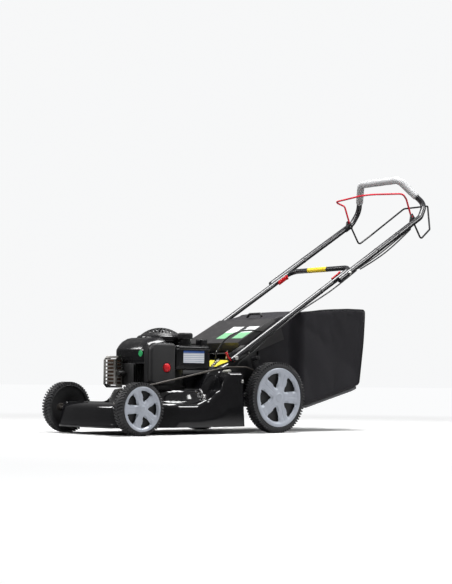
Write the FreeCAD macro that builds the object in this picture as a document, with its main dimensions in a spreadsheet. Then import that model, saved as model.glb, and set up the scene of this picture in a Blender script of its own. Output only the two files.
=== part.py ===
"""Petrol lawn mower with rear grass bag: 46 cm class, self-propelled, folding handle.

Axes: the mower faces -Y, the operator's left is +X, and up is +Z. The origin is on the
ground under the middle of the whole machine. While the pieces are made, y = 0 is at the
front wheels' axle; the last step moves every piece so that the origin is at the middle.
"""
import FreeCAD, Part
import math
import os
import re

import Sketcher

V = FreeCAD.Vector
X_AXIS = V(1, 0, 0)
Y_AXIS = V(0, 1, 0)
Z_AXIS = V(0, 0, 1)

doc = FreeCAD.newDocument("LawnMower")

# ---------------------------------------------------------------- driving dimensions, mm
SIZES = """
wheelbase 692               front axle to rear axle
track_half 261              middle plane to the wheels' outer faces
front_wheel_radius 100
rear_wheel_radius 143
wheel_width 48
tread_depth 3
front_lugs 38
rear_lugs 54
front_rim_radius 86         tyre seat, front
rear_rim_radius 120         tyre seat, rear
rim_wall 4
seat_gap 0.2                between pressed or snapped pieces
axle_radius 6
axle_gap 0.05               running fit on the axles
hub_radius 17
crank_radius 55             height crank: pivot to wheel axle
crank_rest_angle 22         rear wheel axle below the pivot's level, degrees
gear_module 2
pinion_teeth 15
ring_teeth 70
gear_width 11
shaft_radius 7
deck_wall 2
deck_half_width 238
deck_front_half 198
deck_front_lip 75           ahead of the front axle
deck_bottom 28
deck_shoulder 118
deck_top 172
skirt_rear 528              full-width skirt's end, ahead of the rear wheels
deck_rear 655               behind the front axle
tunnel_half 174
tunnel_top 262
plate_wall 3
blade_radius 225
blade_width 55
blade_wall 4
blade_height 50
crank_back 285              crankshaft behind the front axle
crankshaft_radius 11
engine_pulley_radius 24
gearbox_pulley_radius 52
pulley_width 14
pulley_height 112
belt_wall 7
gearbox_pulley_back 598
flange_wall 14
case_radius 92
bore_block_width 104
fin_count 7
fin_wall 3
blower_top 376
blower_wall 3
grille_radius 87
grille_rise 34
flywheel_radius 82
flywheel_rise 42
filter_face 172             middle plane to the air filter cover's outer face
primer_radius 12
tank_face 148               middle plane to the fuel tank's outer side
tank_top 344
tank_wall 3
neck_radius 20
cap_radius 30
cap_rise 24
handle_angle 31             slope of the handle above the level, degrees
handle_foot_back 512
handle_foot_height 300
lower_tube_radius 11
upper_tube_radius 12.5
tube_wall 1.5
lower_half_gauge 190        middle plane to the lower tube's legs
side_by_side_gap 0.5        between the lower and upper tubes where they overlap
crossbar_along 778          lower handle: foot to crossbar, along the slope
fold_along 722              lower handle: foot to fold bolt
overlap 62                  upper tube's end beyond the fold bolt
bail_along 1222             foot to bail bracket
bend_along 1262             foot to the bend of the upper handle
grip_radius 17
bail_wire_radius 4
bolt_radius 4
flap_half 170
flap_wall 3
flap_hinge_back 600
flap_hinge_height 322
flap_rod_radius 4
bag_mouth_back 668
bag_length 609
bag_mouth_half 160
bag_half 200
bag_top 524
bag_bottom 100
bag_wire_radius 4
cable_radius 3
"""

sheet = doc.addObject("Spreadsheet::Sheet", "Sizes")
aliases = []
for row, line in enumerate(SIZES.strip().splitlines(), start=1):
    alias, value = line.split()[:2]
    sheet.set("A%d" % row, alias)
    sheet.set("B%d" % row, value)
    sheet.setAlias("B%d" % row, alias)
    aliases.append(alias)
doc.recompute()


class Dimensions:
    """The sheet's values as plain numbers, by name."""

    def __getattr__(self, alias):
        return float(sheet.get(alias))


D = Dimensions()
WORD = re.compile("[a-z][a-z_]*[a-z]")


def bound(text):
    """An expression over the sheet's names, as FreeCAD reads it."""
    return WORD.sub(lambda m: "Sizes." + m.group(0) if m.group(0) in aliases else m.group(0), text)


def bind(thing, **properties):
    """Ties properties to expressions, or sets them where they are numbers."""
    for name, value in properties.items():
        if isinstance(value, str):
            thing.setExpression(name, bound(value))
        else:
            setattr(thing, name, value)
    return thing


def place(thing, x=0, y=0, z=0, rotation=None):
    """Sets a placement; a coordinate is a number or an expression over the sheet."""
    numbers = [0 if isinstance(c, str) else c for c in (x, y, z)]
    thing.Placement = FreeCAD.Placement(V(*numbers), rotation or FreeCAD.Rotation())
    for letter, coordinate in zip("xyz", (x, y, z)):
        if isinstance(coordinate, str):
            thing.setExpression("Placement.Base." + letter, bound(coordinate))
    return thing


TO_X = FreeCAD.Rotation(Y_AXIS, 90)
TO_Y = FreeCAD.Rotation(X_AXIS, -90)


def box(name, x, y, z):
    """A block between pairs of coordinates, each a number or an expression."""
    thing = doc.addObject("Part::Box", name)
    spans = {}
    for side, (low, high) in zip(("Length", "Width", "Height"), (x, y, z)):
        spans[side] = "(%s) - (%s)" % (high, low)
    bind(thing, **spans)
    return place(thing, *[c if isinstance(c, str) else float(c) for c in (x[0], y[0], z[0])])


def rod(name, radius, length, x=0, y=0, z=0, rotation=None):
    thing = bind(doc.addObject("Part::Cylinder", name), Radius=radius, Height=length)
    return place(thing, x, y, z, rotation)


def fuse(name, pieces):
    thing = doc.addObject("Part::MultiFuse", name)
    thing.Shapes = pieces
    return thing


def cut(name, base, tool):
    thing = doc.addObject("Part::Cut", name)
    thing.Base = base
    thing.Tool = tool
    return thing


def group(name, pieces):
    """Separate solids in one node."""
    thing = doc.addObject("Part::Compound", name)
    thing.Links = pieces
    return thing


def shaped(name, shape):
    """A piece whose shape Part's own functions make."""
    thing = doc.addObject("Part::Feature", name)
    thing.Shape = shape
    return thing


nodes = {}


def node(label, thing):
    thing.Label = label
    nodes[label] = thing
    return thing


def revolved_body(name, outline, x, y, z):
    """A PartDesign body turned about the X axis: outline holds (along, radius) expressions."""
    body = doc.addObject("PartDesign::Body", name)
    plane = [f for f in body.Origin.OriginFeatures if f.Role == "XY_Plane"][0]
    sketch = body.newObject("Sketcher::SketchObject", name + "Profile")
    sketch.AttachmentSupport = (plane, [""])
    sketch.MapMode = "FlatFace"
    count = len(outline)
    rough = [V(10 * i, 10 + 5 * (i % 2), 0) for i in range(count)]
    for i in range(count):
        sketch.addGeometry(Part.LineSegment(rough[i], rough[(i + 1) % count]))
    for i in range(count):
        sketch.addConstraint(Sketcher.Constraint("Coincident", i, 2, (i + 1) % count, 1))
    for i, (along, radius) in enumerate(outline):
        across = sketch.addConstraint(Sketcher.Constraint("DistanceX", i, 1, rough[i].x))
        up = sketch.addConstraint(Sketcher.Constraint("DistanceY", i, 1, rough[i].y))
        sketch.setExpression("Constraints[%d]" % across, bound(along))
        sketch.setExpression("Constraints[%d]" % up, bound(radius))
    turned = body.newObject("PartDesign::Revolution", name + "Turned")
    turned.Profile = sketch
    turned.ReferenceAxis = (sketch, ["H_Axis"])
    turned.Angle = 360
    return place(body, x, y, z)


# ---------------------------------------------------------------- outlines and paths

def polygon_face(points):
    return Part.Face(Part.makePolygon(points + [points[0]]))


def slab(points_yz, x_low, x_high):
    """A side-view outline (y, z) given thickness across the machine."""
    face = polygon_face([V(x_low, y, z) for y, z in points_yz])
    return face.extrude(V(x_high - x_low, 0, 0))


def fused(shapes):
    """One solid from several that overlap or share faces."""
    whole = shapes[0].fuse(shapes[1:]) if len(shapes) > 1 else shapes[0]
    return whole.removeSplitter()


def filleted_path(points, radii):
    """Straight runs joined by tangent arcs; radii has one value per inner point."""
    edges = []
    start = points[0]
    for i in range(1, len(points) - 1):
        corner = points[i]
        back = (points[i - 1] - corner).normalize()
        ahead = (points[i + 1] - corner).normalize()
        half = back.getAngle(ahead) / 2
        reach = radii[i - 1] / math.tan(half)
        bisector = (back + ahead).normalize()
        centre = corner + bisector * (radii[i - 1] / math.sin(half))
        middle = centre - bisector * radii[i - 1]
        first = corner + back * reach
        last = corner + ahead * reach
        edges.append(Part.LineSegment(start, first).toShape())
        edges.append(Part.Arc(first, middle, last).toShape())
        start = last
    edges.append(Part.LineSegment(start, points[-1]).toShape())
    return Part.Wire(edges)


def swept(path, radius):
    """A round bar along a path of runs and arcs."""
    start = path.Edges[0].Vertexes[0].Point
    aim = path.Edges[0].tangentAt(path.Edges[0].FirstParameter)
    ring = Part.Wire([Part.makeCircle(radius, start, aim)])
    return path.makePipeShell([ring], True, True)


def bar(points, radii, radius):
    return swept(filleted_path(points, radii), radius)


def tube(points, radii, radius, wall):
    path = filleted_path(points, radii)
    return swept(path, radius).cut(swept(path, radius - wall))


def mirror_x(points):
    return [V(-p.x, p.y, p.z) for p in reversed(points)]


def turned_ring(inner, outer, x_low, x_high, y, z):
    """A plain ring about an axis along X."""
    solid = Part.makeCylinder(outer, x_high - x_low, V(x_low, y, z), X_AXIS)
    if inner > 0:
        solid = solid.cut(Part.makeCylinder(inner, x_high - x_low, V(x_low, y, z), X_AXIS))
    return solid


def toothed_disc(root, tip, count, tip_share, root_share, x_low, x_high, phase=0.0):
    """A disc about X at the origin whose rim carries trapezoid lugs or teeth."""
    points = []
    pitch = 2 * math.pi / count
    for i in range(count):
        middle = phase + i * pitch
        for radius, offset in ((root, -root_share), (tip, -tip_share), (tip, tip_share), (root, root_share)):
            angle = middle + offset * pitch / 2
            points.append(V(x_low, radius * math.cos(angle), radius * math.sin(angle)))
    return polygon_face(points).extrude(V(x_high - x_low, 0, 0))


# ---------------------------------------------------------------- places worked out from the sizes

SLOPE = math.radians(D.handle_angle)
ALONG = V(0, math.cos(SLOPE), math.sin(SLOPE))
RAISED = V(0, -math.sin(SLOPE), math.cos(SLOPE))
FOOT = V(0, D.handle_foot_back, D.handle_foot_height)
UPPER_GAUGE = D.lower_half_gauge + D.lower_tube_radius + D.side_by_side_gap + D.upper_tube_radius
TYRE_INNER = D.track_half - D.wheel_width

REST = math.radians(D.crank_rest_angle)
REAR_AXLE = V(0, D.wheelbase, D.rear_wheel_radius)
REAR_PIVOT = REAR_AXLE + V(0, -D.crank_radius * math.cos(REST), D.crank_radius * math.sin(REST))
FRONT_AXLE = V(0, 0, D.front_wheel_radius)
FRONT_PIVOT = FRONT_AXLE + V(0, -D.crank_radius, 0)
LINK_ARM = V(0, -5, 70)
BOLT_ROWS = (-62, 42)


def on_handle(along, raised=0.0, x=0.0):
    """A point of the straight handle: distance up the slope, and above its middle line."""
    return FOOT + ALONG * along + RAISED * raised + V(x, 0, 0)


# ---------------------------------------------------------------- wheels

def tyre_shape(radius, rim, count):
    """Two staggered rows of lugs between smooth sidewalls, bored for the rim."""
    low = TYRE_INNER
    high = D.track_half
    wall = 5.0
    middle = (low + high) / 2
    root = radius - D.tread_depth
    half_pitch = math.pi / count
    rows = [
        toothed_disc(root, radius, count, 0.5, 0.62, low + wall, middle, -math.pi / 2),
        toothed_disc(root, radius, count, 0.5, 0.62, middle, high - wall, -math.pi / 2 + half_pitch),
        Part.makeCone(root - 4, root, wall, V(low, 0, 0), X_AXIS),
        Part.makeCone(root, root - 4, wall, V(high - wall, 0, 0), X_AXIS),
    ]
    return fused(rows).cut(turned_ring(0, rim, low, high, 0, 0))


def hubcap_shape(radius, outer, twist):
    """A dished cover with five rounded windows whose narrow ends point at the hub."""
    rim_depth = 9.0
    shell = 2.5
    profile = [
        V(outer - rim_depth, 0, 0), V(outer - rim_depth, radius * 0.97, 0), V(outer - 2, radius, 0),
        V(outer, radius * 0.96, 0), V(outer - 4, radius * 0.62, 0), V(outer - 1, radius * 0.2, 0),
        V(outer + 1, radius * 0.15, 0), V(outer + 1, 0, 0)]
    solid = polygon_face(profile).revolve(V(), X_AXIS, 360)
    hollow_profile = [
        V(outer - rim_depth, 0, 0), V(outer - rim_depth, radius * 0.97 - shell, 0),
        V(outer - 3 - shell, radius * 0.93, 0), V(outer - 4 - shell, radius * 0.62, 0),
        V(outer - 1 - shell, radius * 0.2, 0), V(outer - 1 - shell, 0, 0)]
    solid = solid.cut(polygon_face(hollow_profile).revolve(V(), X_AXIS, 360))
    inner_edge = radius * 0.3
    outer_edge = radius * 0.84
    half_wide = math.radians(19)
    for i in range(5):
        corner_points = []
        for share in (-1.0, -0.5, 0.0, 0.5, 1.0):
            angle = share * half_wide
            reach = outer_edge - 2.5 * abs(share) ** 3
            corner_points.append(V(outer - 20, reach * math.cos(angle), reach * math.sin(angle)))
        corner_points.append(V(outer - 20, inner_edge, 2.0))
        corner_points.append(V(outer - 20, inner_edge, -2.0))
        window = polygon_face(corner_points).extrude(V(40, 0, 0))
        window.rotate(V(), X_AXIS, twist + 72 * i)
        solid = solid.cut(window)
    return solid


def ring_gear_shape(low):
    """The internal gear moulded into a driven wheel."""
    pitch_radius = D.gear_module * D.ring_teeth / 2
    outer = pitch_radius + 3 * D.gear_module
    blank = Part.makeCylinder(outer, D.gear_width, V(low, 0, 0), X_AXIS)
    spaces = toothed_disc(pitch_radius - D.gear_module * 0.9, pitch_radius + D.gear_module * 1.25,
                          int(D.ring_teeth), 0.40, 0.66, low - 1, low + D.gear_width + 1)
    return blank.cut(spaces)


def make_wheels():
    for end, radius, rim, axle, lugs in (
            ("front", "front_wheel_radius", "front_rim_radius", FRONT_AXLE, D.front_lugs),
            ("rear", "rear_wheel_radius", "rear_rim_radius", REAR_AXLE, D.rear_lugs)):
        for side, sign in (("left", 1), ("right", -1)):
            at = V(0, axle.y, axle.z)
            turn = FreeCAD.Rotation() if sign > 0 else FreeCAD.Rotation(Z_AXIS, 180)
            tyre = shaped(end + "_tyre_shape_" + side, tyre_shape(getattr(D, radius), getattr(D, rim),
                                                                  int(lugs)))
            node("%s_tyre_%s" % (end, side), place(tyre, at.x, at.y, at.z, turn))

            bore = "axle_radius + axle_gap"
            seat = rim + " - seat_gap"
            inner_x = "track_half - wheel_width + 1"
            outer_x = "track_half - 3"
            outline = [
                (inner_x, seat + " - rim_wall"), (inner_x, seat), (outer_x, seat),
                (outer_x, seat + " - rim_wall"), ("track_half - 16", seat + " - rim_wall"),
                ("track_half - 16", "hub_radius"), ("track_half - 8", "hub_radius"),
                ("track_half - 8", bore), ("track_half - wheel_width + 3", bore),
                ("track_half - wheel_width + 3", "hub_radius"), ("track_half - 22", "hub_radius"),
                ("track_half - 22", seat + " - rim_wall")]
            rim_body = revolved_body(end + "_rim_" + side, outline, 0, 0, 0)
            if end == "rear":
                gear_low = TYRE_INNER + 2
                gear = shaped("ring_gear_" + side, ring_gear_shape(gear_low))
                web_high = D.track_half - 22
                web = shaped("gear_web_" + side, turned_ring(
                    D.gear_module * D.ring_teeth / 2 + 1.5 * D.gear_module,
                    D.gear_module * D.ring_teeth / 2 + 3 * D.gear_module,
                    gear_low + D.gear_width, web_high + 1, 0, 0))
                rim_node = fuse(end + "_wheel_" + side, [rim_body, gear, web])
            else:
                ribs = shaped("rim_boss_" + side, turned_ring(
                    D.front_rim_radius * 0.45, D.front_rim_radius * 0.45 + 3,
                    D.track_half - 30, D.track_half - 21, 0, 0))
                rim_node = fuse(end + "_wheel_" + side, [rim_body, ribs])
            node("%s_rim_%s" % (end, side), place(rim_node, at.x, at.y, at.z, turn))

            twist = 0 if end == "front" else 36
            cap_radius = getattr(D, rim) - D.seat_gap - D.rim_wall - 0.4 + 3.5
            cap = shaped("%s_cap_shape_%s" % (end, side), hubcap_shape(cap_radius, D.track_half + 1, twist))
            rim_clear = turned_ring(cap_radius - 3.9, cap_radius + 5, D.track_half - 12,
                                    D.track_half - 2.7, 0, 0)
            cap.Shape = cap.Shape.cut(rim_clear)
            node("%s_cap_%s" % (end, side), place(cap, at.x, at.y, at.z, turn))


# ---------------------------------------------------------------- axles, height adjuster, drive

def make_running_gear():
    arm_low = TYRE_INNER - 14
    arm_high = arm_low + 4
    stub_end = D.track_half - 5

    def arm(centre_a, centre_b, low, high, radius):
        """A flat link with round ends between two centres, across X."""
        across = (centre_b - centre_a)
        length = across.Length
        unit = across * (1 / length)
        side = V(0, -unit.z, unit.y) * radius
        strip = [centre_a + side, centre_b + side, centre_b - side, centre_a - side]
        pieces = [
            polygon_face([V(low, p.y, p.z) for p in strip]).extrude(V(high - low, 0, 0)),
            Part.makeCylinder(radius, high - low, V(low, centre_a.y, centre_a.z), X_AXIS),
            Part.makeCylinder(radius, high - low, V(low, centre_b.y, centre_b.z), X_AXIS)]
        return fused(pieces)

    def crank(pivot, axle, brace):
        """Both crank arms, their stub axles and the bar that joins them."""
        pieces = []
        for sign in (1, -1):
            low = arm_low if sign > 0 else -arm_high
            high = arm_high if sign > 0 else -arm_low
            start = arm_low if sign > 0 else -stub_end
            pieces.append(arm(pivot, axle, low, high, 15))
            pieces.append(Part.makeCylinder(
                D.axle_radius, stub_end - arm_low, V(start, axle.y, axle.z), X_AXIS))
        pieces.append(Part.makeCylinder(
            D.axle_radius, 2 * arm_high - 2, V(-arm_high + 1, brace.y, brace.z), X_AXIS))
        return fused(pieces)

    link_x = arm_high + 5
    front = crank(FRONT_PIVOT, FRONT_AXLE, FRONT_PIVOT)
    link_pin_front = FRONT_PIVOT + LINK_ARM
    front = fused([front, arm(FRONT_PIVOT, link_pin_front, arm_low, arm_high, 8),
                   Part.makeCylinder(4, 9, V(arm_high - 1, link_pin_front.y, link_pin_front.z), X_AXIS)])
    node("front_axle", shaped("front_axle_shape", front))

    brace = REAR_PIVOT + (REAR_AXLE - REAR_PIVOT) * (36 / D.crank_radius)
    rear = crank(REAR_PIVOT, REAR_AXLE, brace)
    link_pin_rear = REAR_PIVOT + LINK_ARM
    rear = fused([rear, Part.makeCylinder(4, 9, V(arm_high - 1, link_pin_rear.y, link_pin_rear.z), X_AXIS)])
    rear = rear.fuse([arm(REAR_PIVOT + V(0, 0, 12), link_pin_rear, arm_low, arm_high, 8)]).removeSplitter()
    rear = rear.cut(Part.makeCylinder(
        D.shaft_radius + 2 * D.axle_gap, 2 * arm_high + 2, V(-arm_high - 1, REAR_PIVOT.y,
                                                             REAR_PIVOT.z), X_AXIS))
    node("rear_axle", shaped("rear_axle_shape", rear))

    grip_at = REAR_PIVOT + V(0, -38, 132)
    lever_low = arm_low - 4
    strap = arm(link_pin_rear + V(0, -6, -22), grip_at, lever_low, lever_low + 4, 8)
    grip = bar([grip_at + V(lever_low + 2, 0, -2), grip_at + V(lever_low + 22, -2, 4),
                grip_at + V(lever_low + 46, -8, 6)], [14], 8)
    node("height_lever", shaped("height_lever_shape", fused([strap, grip])))

    end_a = link_pin_front + V(link_x, 0, 0)
    end_b = link_pin_rear + V(link_x, 0, 0)
    path = [end_a, V(link_x, 110, 196), V(link_x, 455, 263), V(link_x, 560, 264), end_b + V(0, -26, 14),
            end_b]
    rod_shape = bar(path, [90, 160, 60, 30], 3.5)
    eyes = []
    for end in (end_a, end_b):
        eyes.append(Part.makeCylinder(8, 5, V(link_x - 2.5, end.y, end.z), X_AXIS))
    link = fused([rod_shape] + eyes)
    for end in (end_a, end_b):
        link = link.cut(Part.makeCylinder(4 + D.axle_gap, 12, V(link_x - 6, end.y, end.z), X_AXIS))
    node("link_bar", shaped("link_bar_shape", link))

    # The drive shaft turns on the rear crank's own pivot line, so the pinions stay in mesh.
    shaft_end = TYRE_INNER + 2 + D.gear_width + 1
    node("drive_shaft", rod("drive_shaft_rod", "shaft_radius", 2 * shaft_end, -shaft_end, REAR_PIVOT.y,
                            REAR_PIVOT.z, TO_X))
    pinion_phase = math.atan2(REAR_PIVOT.z - REAR_AXLE.z, REAR_PIVOT.y - REAR_AXLE.y)
    pitch_radius = D.gear_module * D.pinion_teeth / 2
    for side, sign in (("left", 1), ("right", -1)):
        low = TYRE_INNER + 2.5
        ring_index = pinion_phase / (2 * math.pi / D.ring_teeth)
        offset = (ring_index - round(ring_index)) * (2 * math.pi / D.ring_teeth)
        phase = pinion_phase - offset * D.ring_teeth / D.pinion_teeth
        if sign < 0:
            mirrored = math.pi - pinion_phase
            ring_index = mirrored / (2 * math.pi / D.ring_teeth)
            offset = (ring_index - round(ring_index)) * (2 * math.pi / D.ring_teeth)
            phase = mirrored - offset * D.ring_teeth / D.pinion_teeth
        blank = toothed_disc(pitch_radius - D.gear_module * 1.1, pitch_radius + D.gear_module * 0.75,
                             int(D.pinion_teeth), 0.22, 0.62, low, low + D.gear_width - 1, phase)
        bore = Part.makeCylinder(D.shaft_radius + D.axle_gap, D.gear_width + 4, V(low - 2, 0, 0), X_AXIS)
        turn = FreeCAD.Rotation() if sign > 0 else FreeCAD.Rotation(Z_AXIS, 180)
        pinion = shaped("pinion_shape_" + side, blank.cut(bore))
        node("pinion_" + side, place(pinion, 0, REAR_PIVOT.y, REAR_PIVOT.z, turn))

    gear_low = D.pulley_height + D.pulley_width + 4
    housing = [
        Part.makeCylinder(27, 64, V(-32, REAR_PIVOT.y, REAR_PIVOT.z), X_AXIS),
        Part.makeBox(56, REAR_PIVOT.y - D.gearbox_pulley_back + 22, 44,
                     V(-28, D.gearbox_pulley_back - 22, gear_low))]
    bore = Part.makeCylinder(D.shaft_radius + D.axle_gap, 80, V(-40, REAR_PIVOT.y, REAR_PIVOT.z), X_AXIS)
    node("gearbox", shaped("gearbox_shape", fused(housing).cut(bore)))

    outline = [("pulley_height", "0"), ("pulley_height", "gearbox_pulley_radius + 4"),
               ("pulley_height + 2", "gearbox_pulley_radius + 4"),
               ("pulley_height + pulley_width / 2 - 1", "gearbox_pulley_radius - 5"),
               ("pulley_height + pulley_width / 2 + 1", "gearbox_pulley_radius - 5"),
               ("pulley_height + pulley_width - 2", "gearbox_pulley_radius + 4"),
               ("pulley_height + pulley_width", "gearbox_pulley_radius + 4"),
               ("pulley_height + pulley_width", "9"),
               ("pulley_height + pulley_width + 3.5", "9"), ("pulley_height + pulley_width + 3.5", "0")]
    pulley = revolved_body("gearbox_pulley_body", outline, 0, 0, 0)
    pulley.Placement = FreeCAD.Placement(V(0, D.gearbox_pulley_back, 0), FreeCAD.Rotation(Y_AXIS, -90))
    node("gearbox_pulley", pulley)

    # Belt: two tangents and two arcs, a flat-sided section that sits high in the grooves.
    small = D.engine_pulley_radius
    large = D.gearbox_pulley_radius
    centre_gap = D.gearbox_pulley_back - D.crank_back
    lean = math.asin((large - small) / centre_gap)

    def loop(grow):
        z = D.pulley_height + D.pulley_width / 2 - 3
        near = V(0, D.crank_back, z)
        far = V(0, D.gearbox_pulley_back, z)
        side = V(math.cos(lean), -math.sin(lean), 0)
        other = V(-math.cos(lean), -math.sin(lean), 0)
        a, b = near + side * (small + grow), far + side * (large + grow)
        c, d = far + other * (large + grow), near + other * (small + grow)
        edges = [Part.LineSegment(a, b).toShape(), Part.Arc(b, far + V(0, large + grow, 0), c).toShape(),
                 Part.LineSegment(c, d).toShape(), Part.Arc(d, near - V(0, small + grow, 0), a).toShape()]
        return Part.Face(Part.Wire(edges)).extrude(V(0, 0, 6))

    node("drive_belt", shaped("drive_belt_shape", loop(D.belt_wall - 2).cut(loop(0.2))))


# ---------------------------------------------------------------- deck and its side plates

def rounded_outline(front, rear, front_half, half, z):
    """Plan outline of the skirt: narrow between the front wheels, full width behind them."""
    neck_front = D.front_wheel_radius + 6
    neck_rear = neck_front + 55
    corner = 42.0
    points = [V(-front_half, rear, z), V(-front_half, neck_front, z)]
    edges = []
    right_front = V(front_half, front + corner, z)
    left_front = V(-front_half, front + corner, z)
    nose = V(0, front - 6, z)
    inset = corner * (1 - math.sqrt(0.5))
    edges.append(Part.LineSegment(V(half, rear, z), V(half, neck_rear, z)).toShape())
    edges.append(Part.LineSegment(V(half, neck_rear, z), V(front_half, neck_front, z)).toShape())
    edges.append(Part.LineSegment(V(front_half, neck_front, z), right_front).toShape())
    edges.append(Part.Arc(right_front, V(front_half - inset, front + inset, z),
                          V(front_half - corner, front, z)).toShape())
    edges.append(Part.Arc(V(front_half - corner, front, z), nose,
                          V(-front_half + corner, front, z)).toShape())
    edges.append(Part.Arc(V(-front_half + corner, front, z), V(-front_half + inset, front + inset, z),
                          left_front).toShape())
    edges.append(Part.LineSegment(left_front, V(-front_half, neck_front, z)).toShape())
    edges.append(Part.LineSegment(V(-front_half, neck_front, z), V(-half, neck_rear, z)).toShape())
    edges.append(Part.LineSegment(V(-half, neck_rear, z), V(-half, rear, z)).toShape())
    edges.append(Part.LineSegment(V(-half, rear, z), V(half, rear, z)).toShape())
    return Part.Wire(edges)


def deck_form(inset):
    """The deck's outer form, or the form of its hollow when inset by the wall."""
    bottom = D.deck_bottom - (1 if inset else 0)
    shoulder = D.deck_shoulder - inset
    front = -D.deck_front_lip + inset
    half = D.deck_half_width - inset
    front_half = D.deck_front_half - inset
    split = D.skirt_rear - inset
    sections = [
        rounded_outline(front, split, front_half, half, bottom),
        rounded_outline(front + 6, split, front_half, half, shoulder - 14),
        rounded_outline(front + 10, split, front_half - 3, half - 3, shoulder - 5),
        rounded_outline(front + 18, split, front_half - 12, half - 12, shoulder)]
    skirt = Part.makeLoft(sections, True, True)
    dome_radius = D.blade_radius - 22 - inset
    top = D.deck_top - inset
    centre = V(0, D.crank_back, 0)
    dome = [
        Part.makeCone(dome_radius + 8, dome_radius - 4, top - 12 - D.deck_shoulder + 16,
                      centre + V(0, 0, D.deck_shoulder - 16), Z_AXIS),
        Part.makeCone(dome_radius - 4, dome_radius - 16, 12, centre + V(0, 0, top - 12), Z_AXIS)]
    cheek = D.deck_half_width - inset
    low = D.deck_shoulder - 30
    cheeks = slab([(300 + inset, low), (300 + inset, D.deck_shoulder - inset), (336, 136 - inset),
                   (408, 172 - inset), (432 + inset, 204 - inset), (438 + inset, 244 - inset),
                   (split, 244 - inset), (split, low)], -cheek, cheek)
    half_tunnel = D.tunnel_half - inset
    rear = D.deck_rear + (2 if inset else 0)
    roof = D.tunnel_top - inset
    tunnel = slab([(300 + inset, low), (300 + inset, 122), (327 + inset, 153 - inset), (412, roof - 18),
                   (440, roof), (560, roof + 34), (rear, roof + 52), (rear, 214 + inset),
                   (split - inset, 206 + inset), (split - inset, low)], -half_tunnel, half_tunnel)
    return fused([skirt] + dome + [cheeks, tunnel])


def make_deck():
    shell = deck_form(0).cut(deck_form(D.deck_wall))
    openings = [
        Part.makeCylinder(30, 60, V(0, D.crank_back, D.deck_top - 30), Z_AXIS),
        Part.makeBox(2 * D.gearbox_pulley_radius + 40, 60, D.pulley_width + 18,
                     V(-D.gearbox_pulley_radius - 20, D.skirt_rear - 30, D.pulley_height - 10))]
    openings.append(Part.makeCylinder(
        D.axle_radius + D.axle_gap, 500, V(-250, FRONT_PIVOT.y, FRONT_PIVOT.z), X_AXIS))
    for x in (-72, 72):
        for y in BOLT_ROWS:
            openings.append(Part.makeCylinder(4.2, 60, V(x, D.crank_back + y, D.deck_top - 30), Z_AXIS))
    for opening in openings:
        shell = shell.cut(opening)
    node("deck", shaped("deck_shape", shell))

    # Pressed side plates carry the handle's feet, the flap's rod and the rear crank.
    plates = []
    inner = D.tunnel_half + 0.3
    for sign in (1, -1):
        low = inner if sign > 0 else -inner - D.plate_wall
        outline = [(500, 246), (488, 300), (500, 318), (560, 352), (600, 352), (640, 330),
                   (REAR_PIVOT.y + 26, 250), (REAR_PIVOT.y + 20, REAR_PIVOT.z + 4),
                   (REAR_PIVOT.y + 10, REAR_PIVOT.z - 17), (REAR_PIVOT.y - 12, REAR_PIVOT.z - 17),
                   (568, 216), (562, 246)]
        plate = slab(outline, low, low + D.plate_wall)
        for y, z, radius in ((REAR_PIVOT.y, REAR_PIVOT.z, D.shaft_radius + 2 * D.axle_gap),
                             (FOOT.y, FOOT.z, D.bolt_radius + 0.05),
                             (D.flap_hinge_back, D.flap_hinge_height, D.flap_rod_radius + 0.05)):
            plate = plate.cut(Part.makeCylinder(radius, 20, V(low - 8, y, z), X_AXIS))
        plates.append(shaped("side_plate_%d" % (sign + 2), plate))
    node("side_plates", group("side_plate_pair", plates))


# ---------------------------------------------------------------- crank, blade and engine

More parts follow.
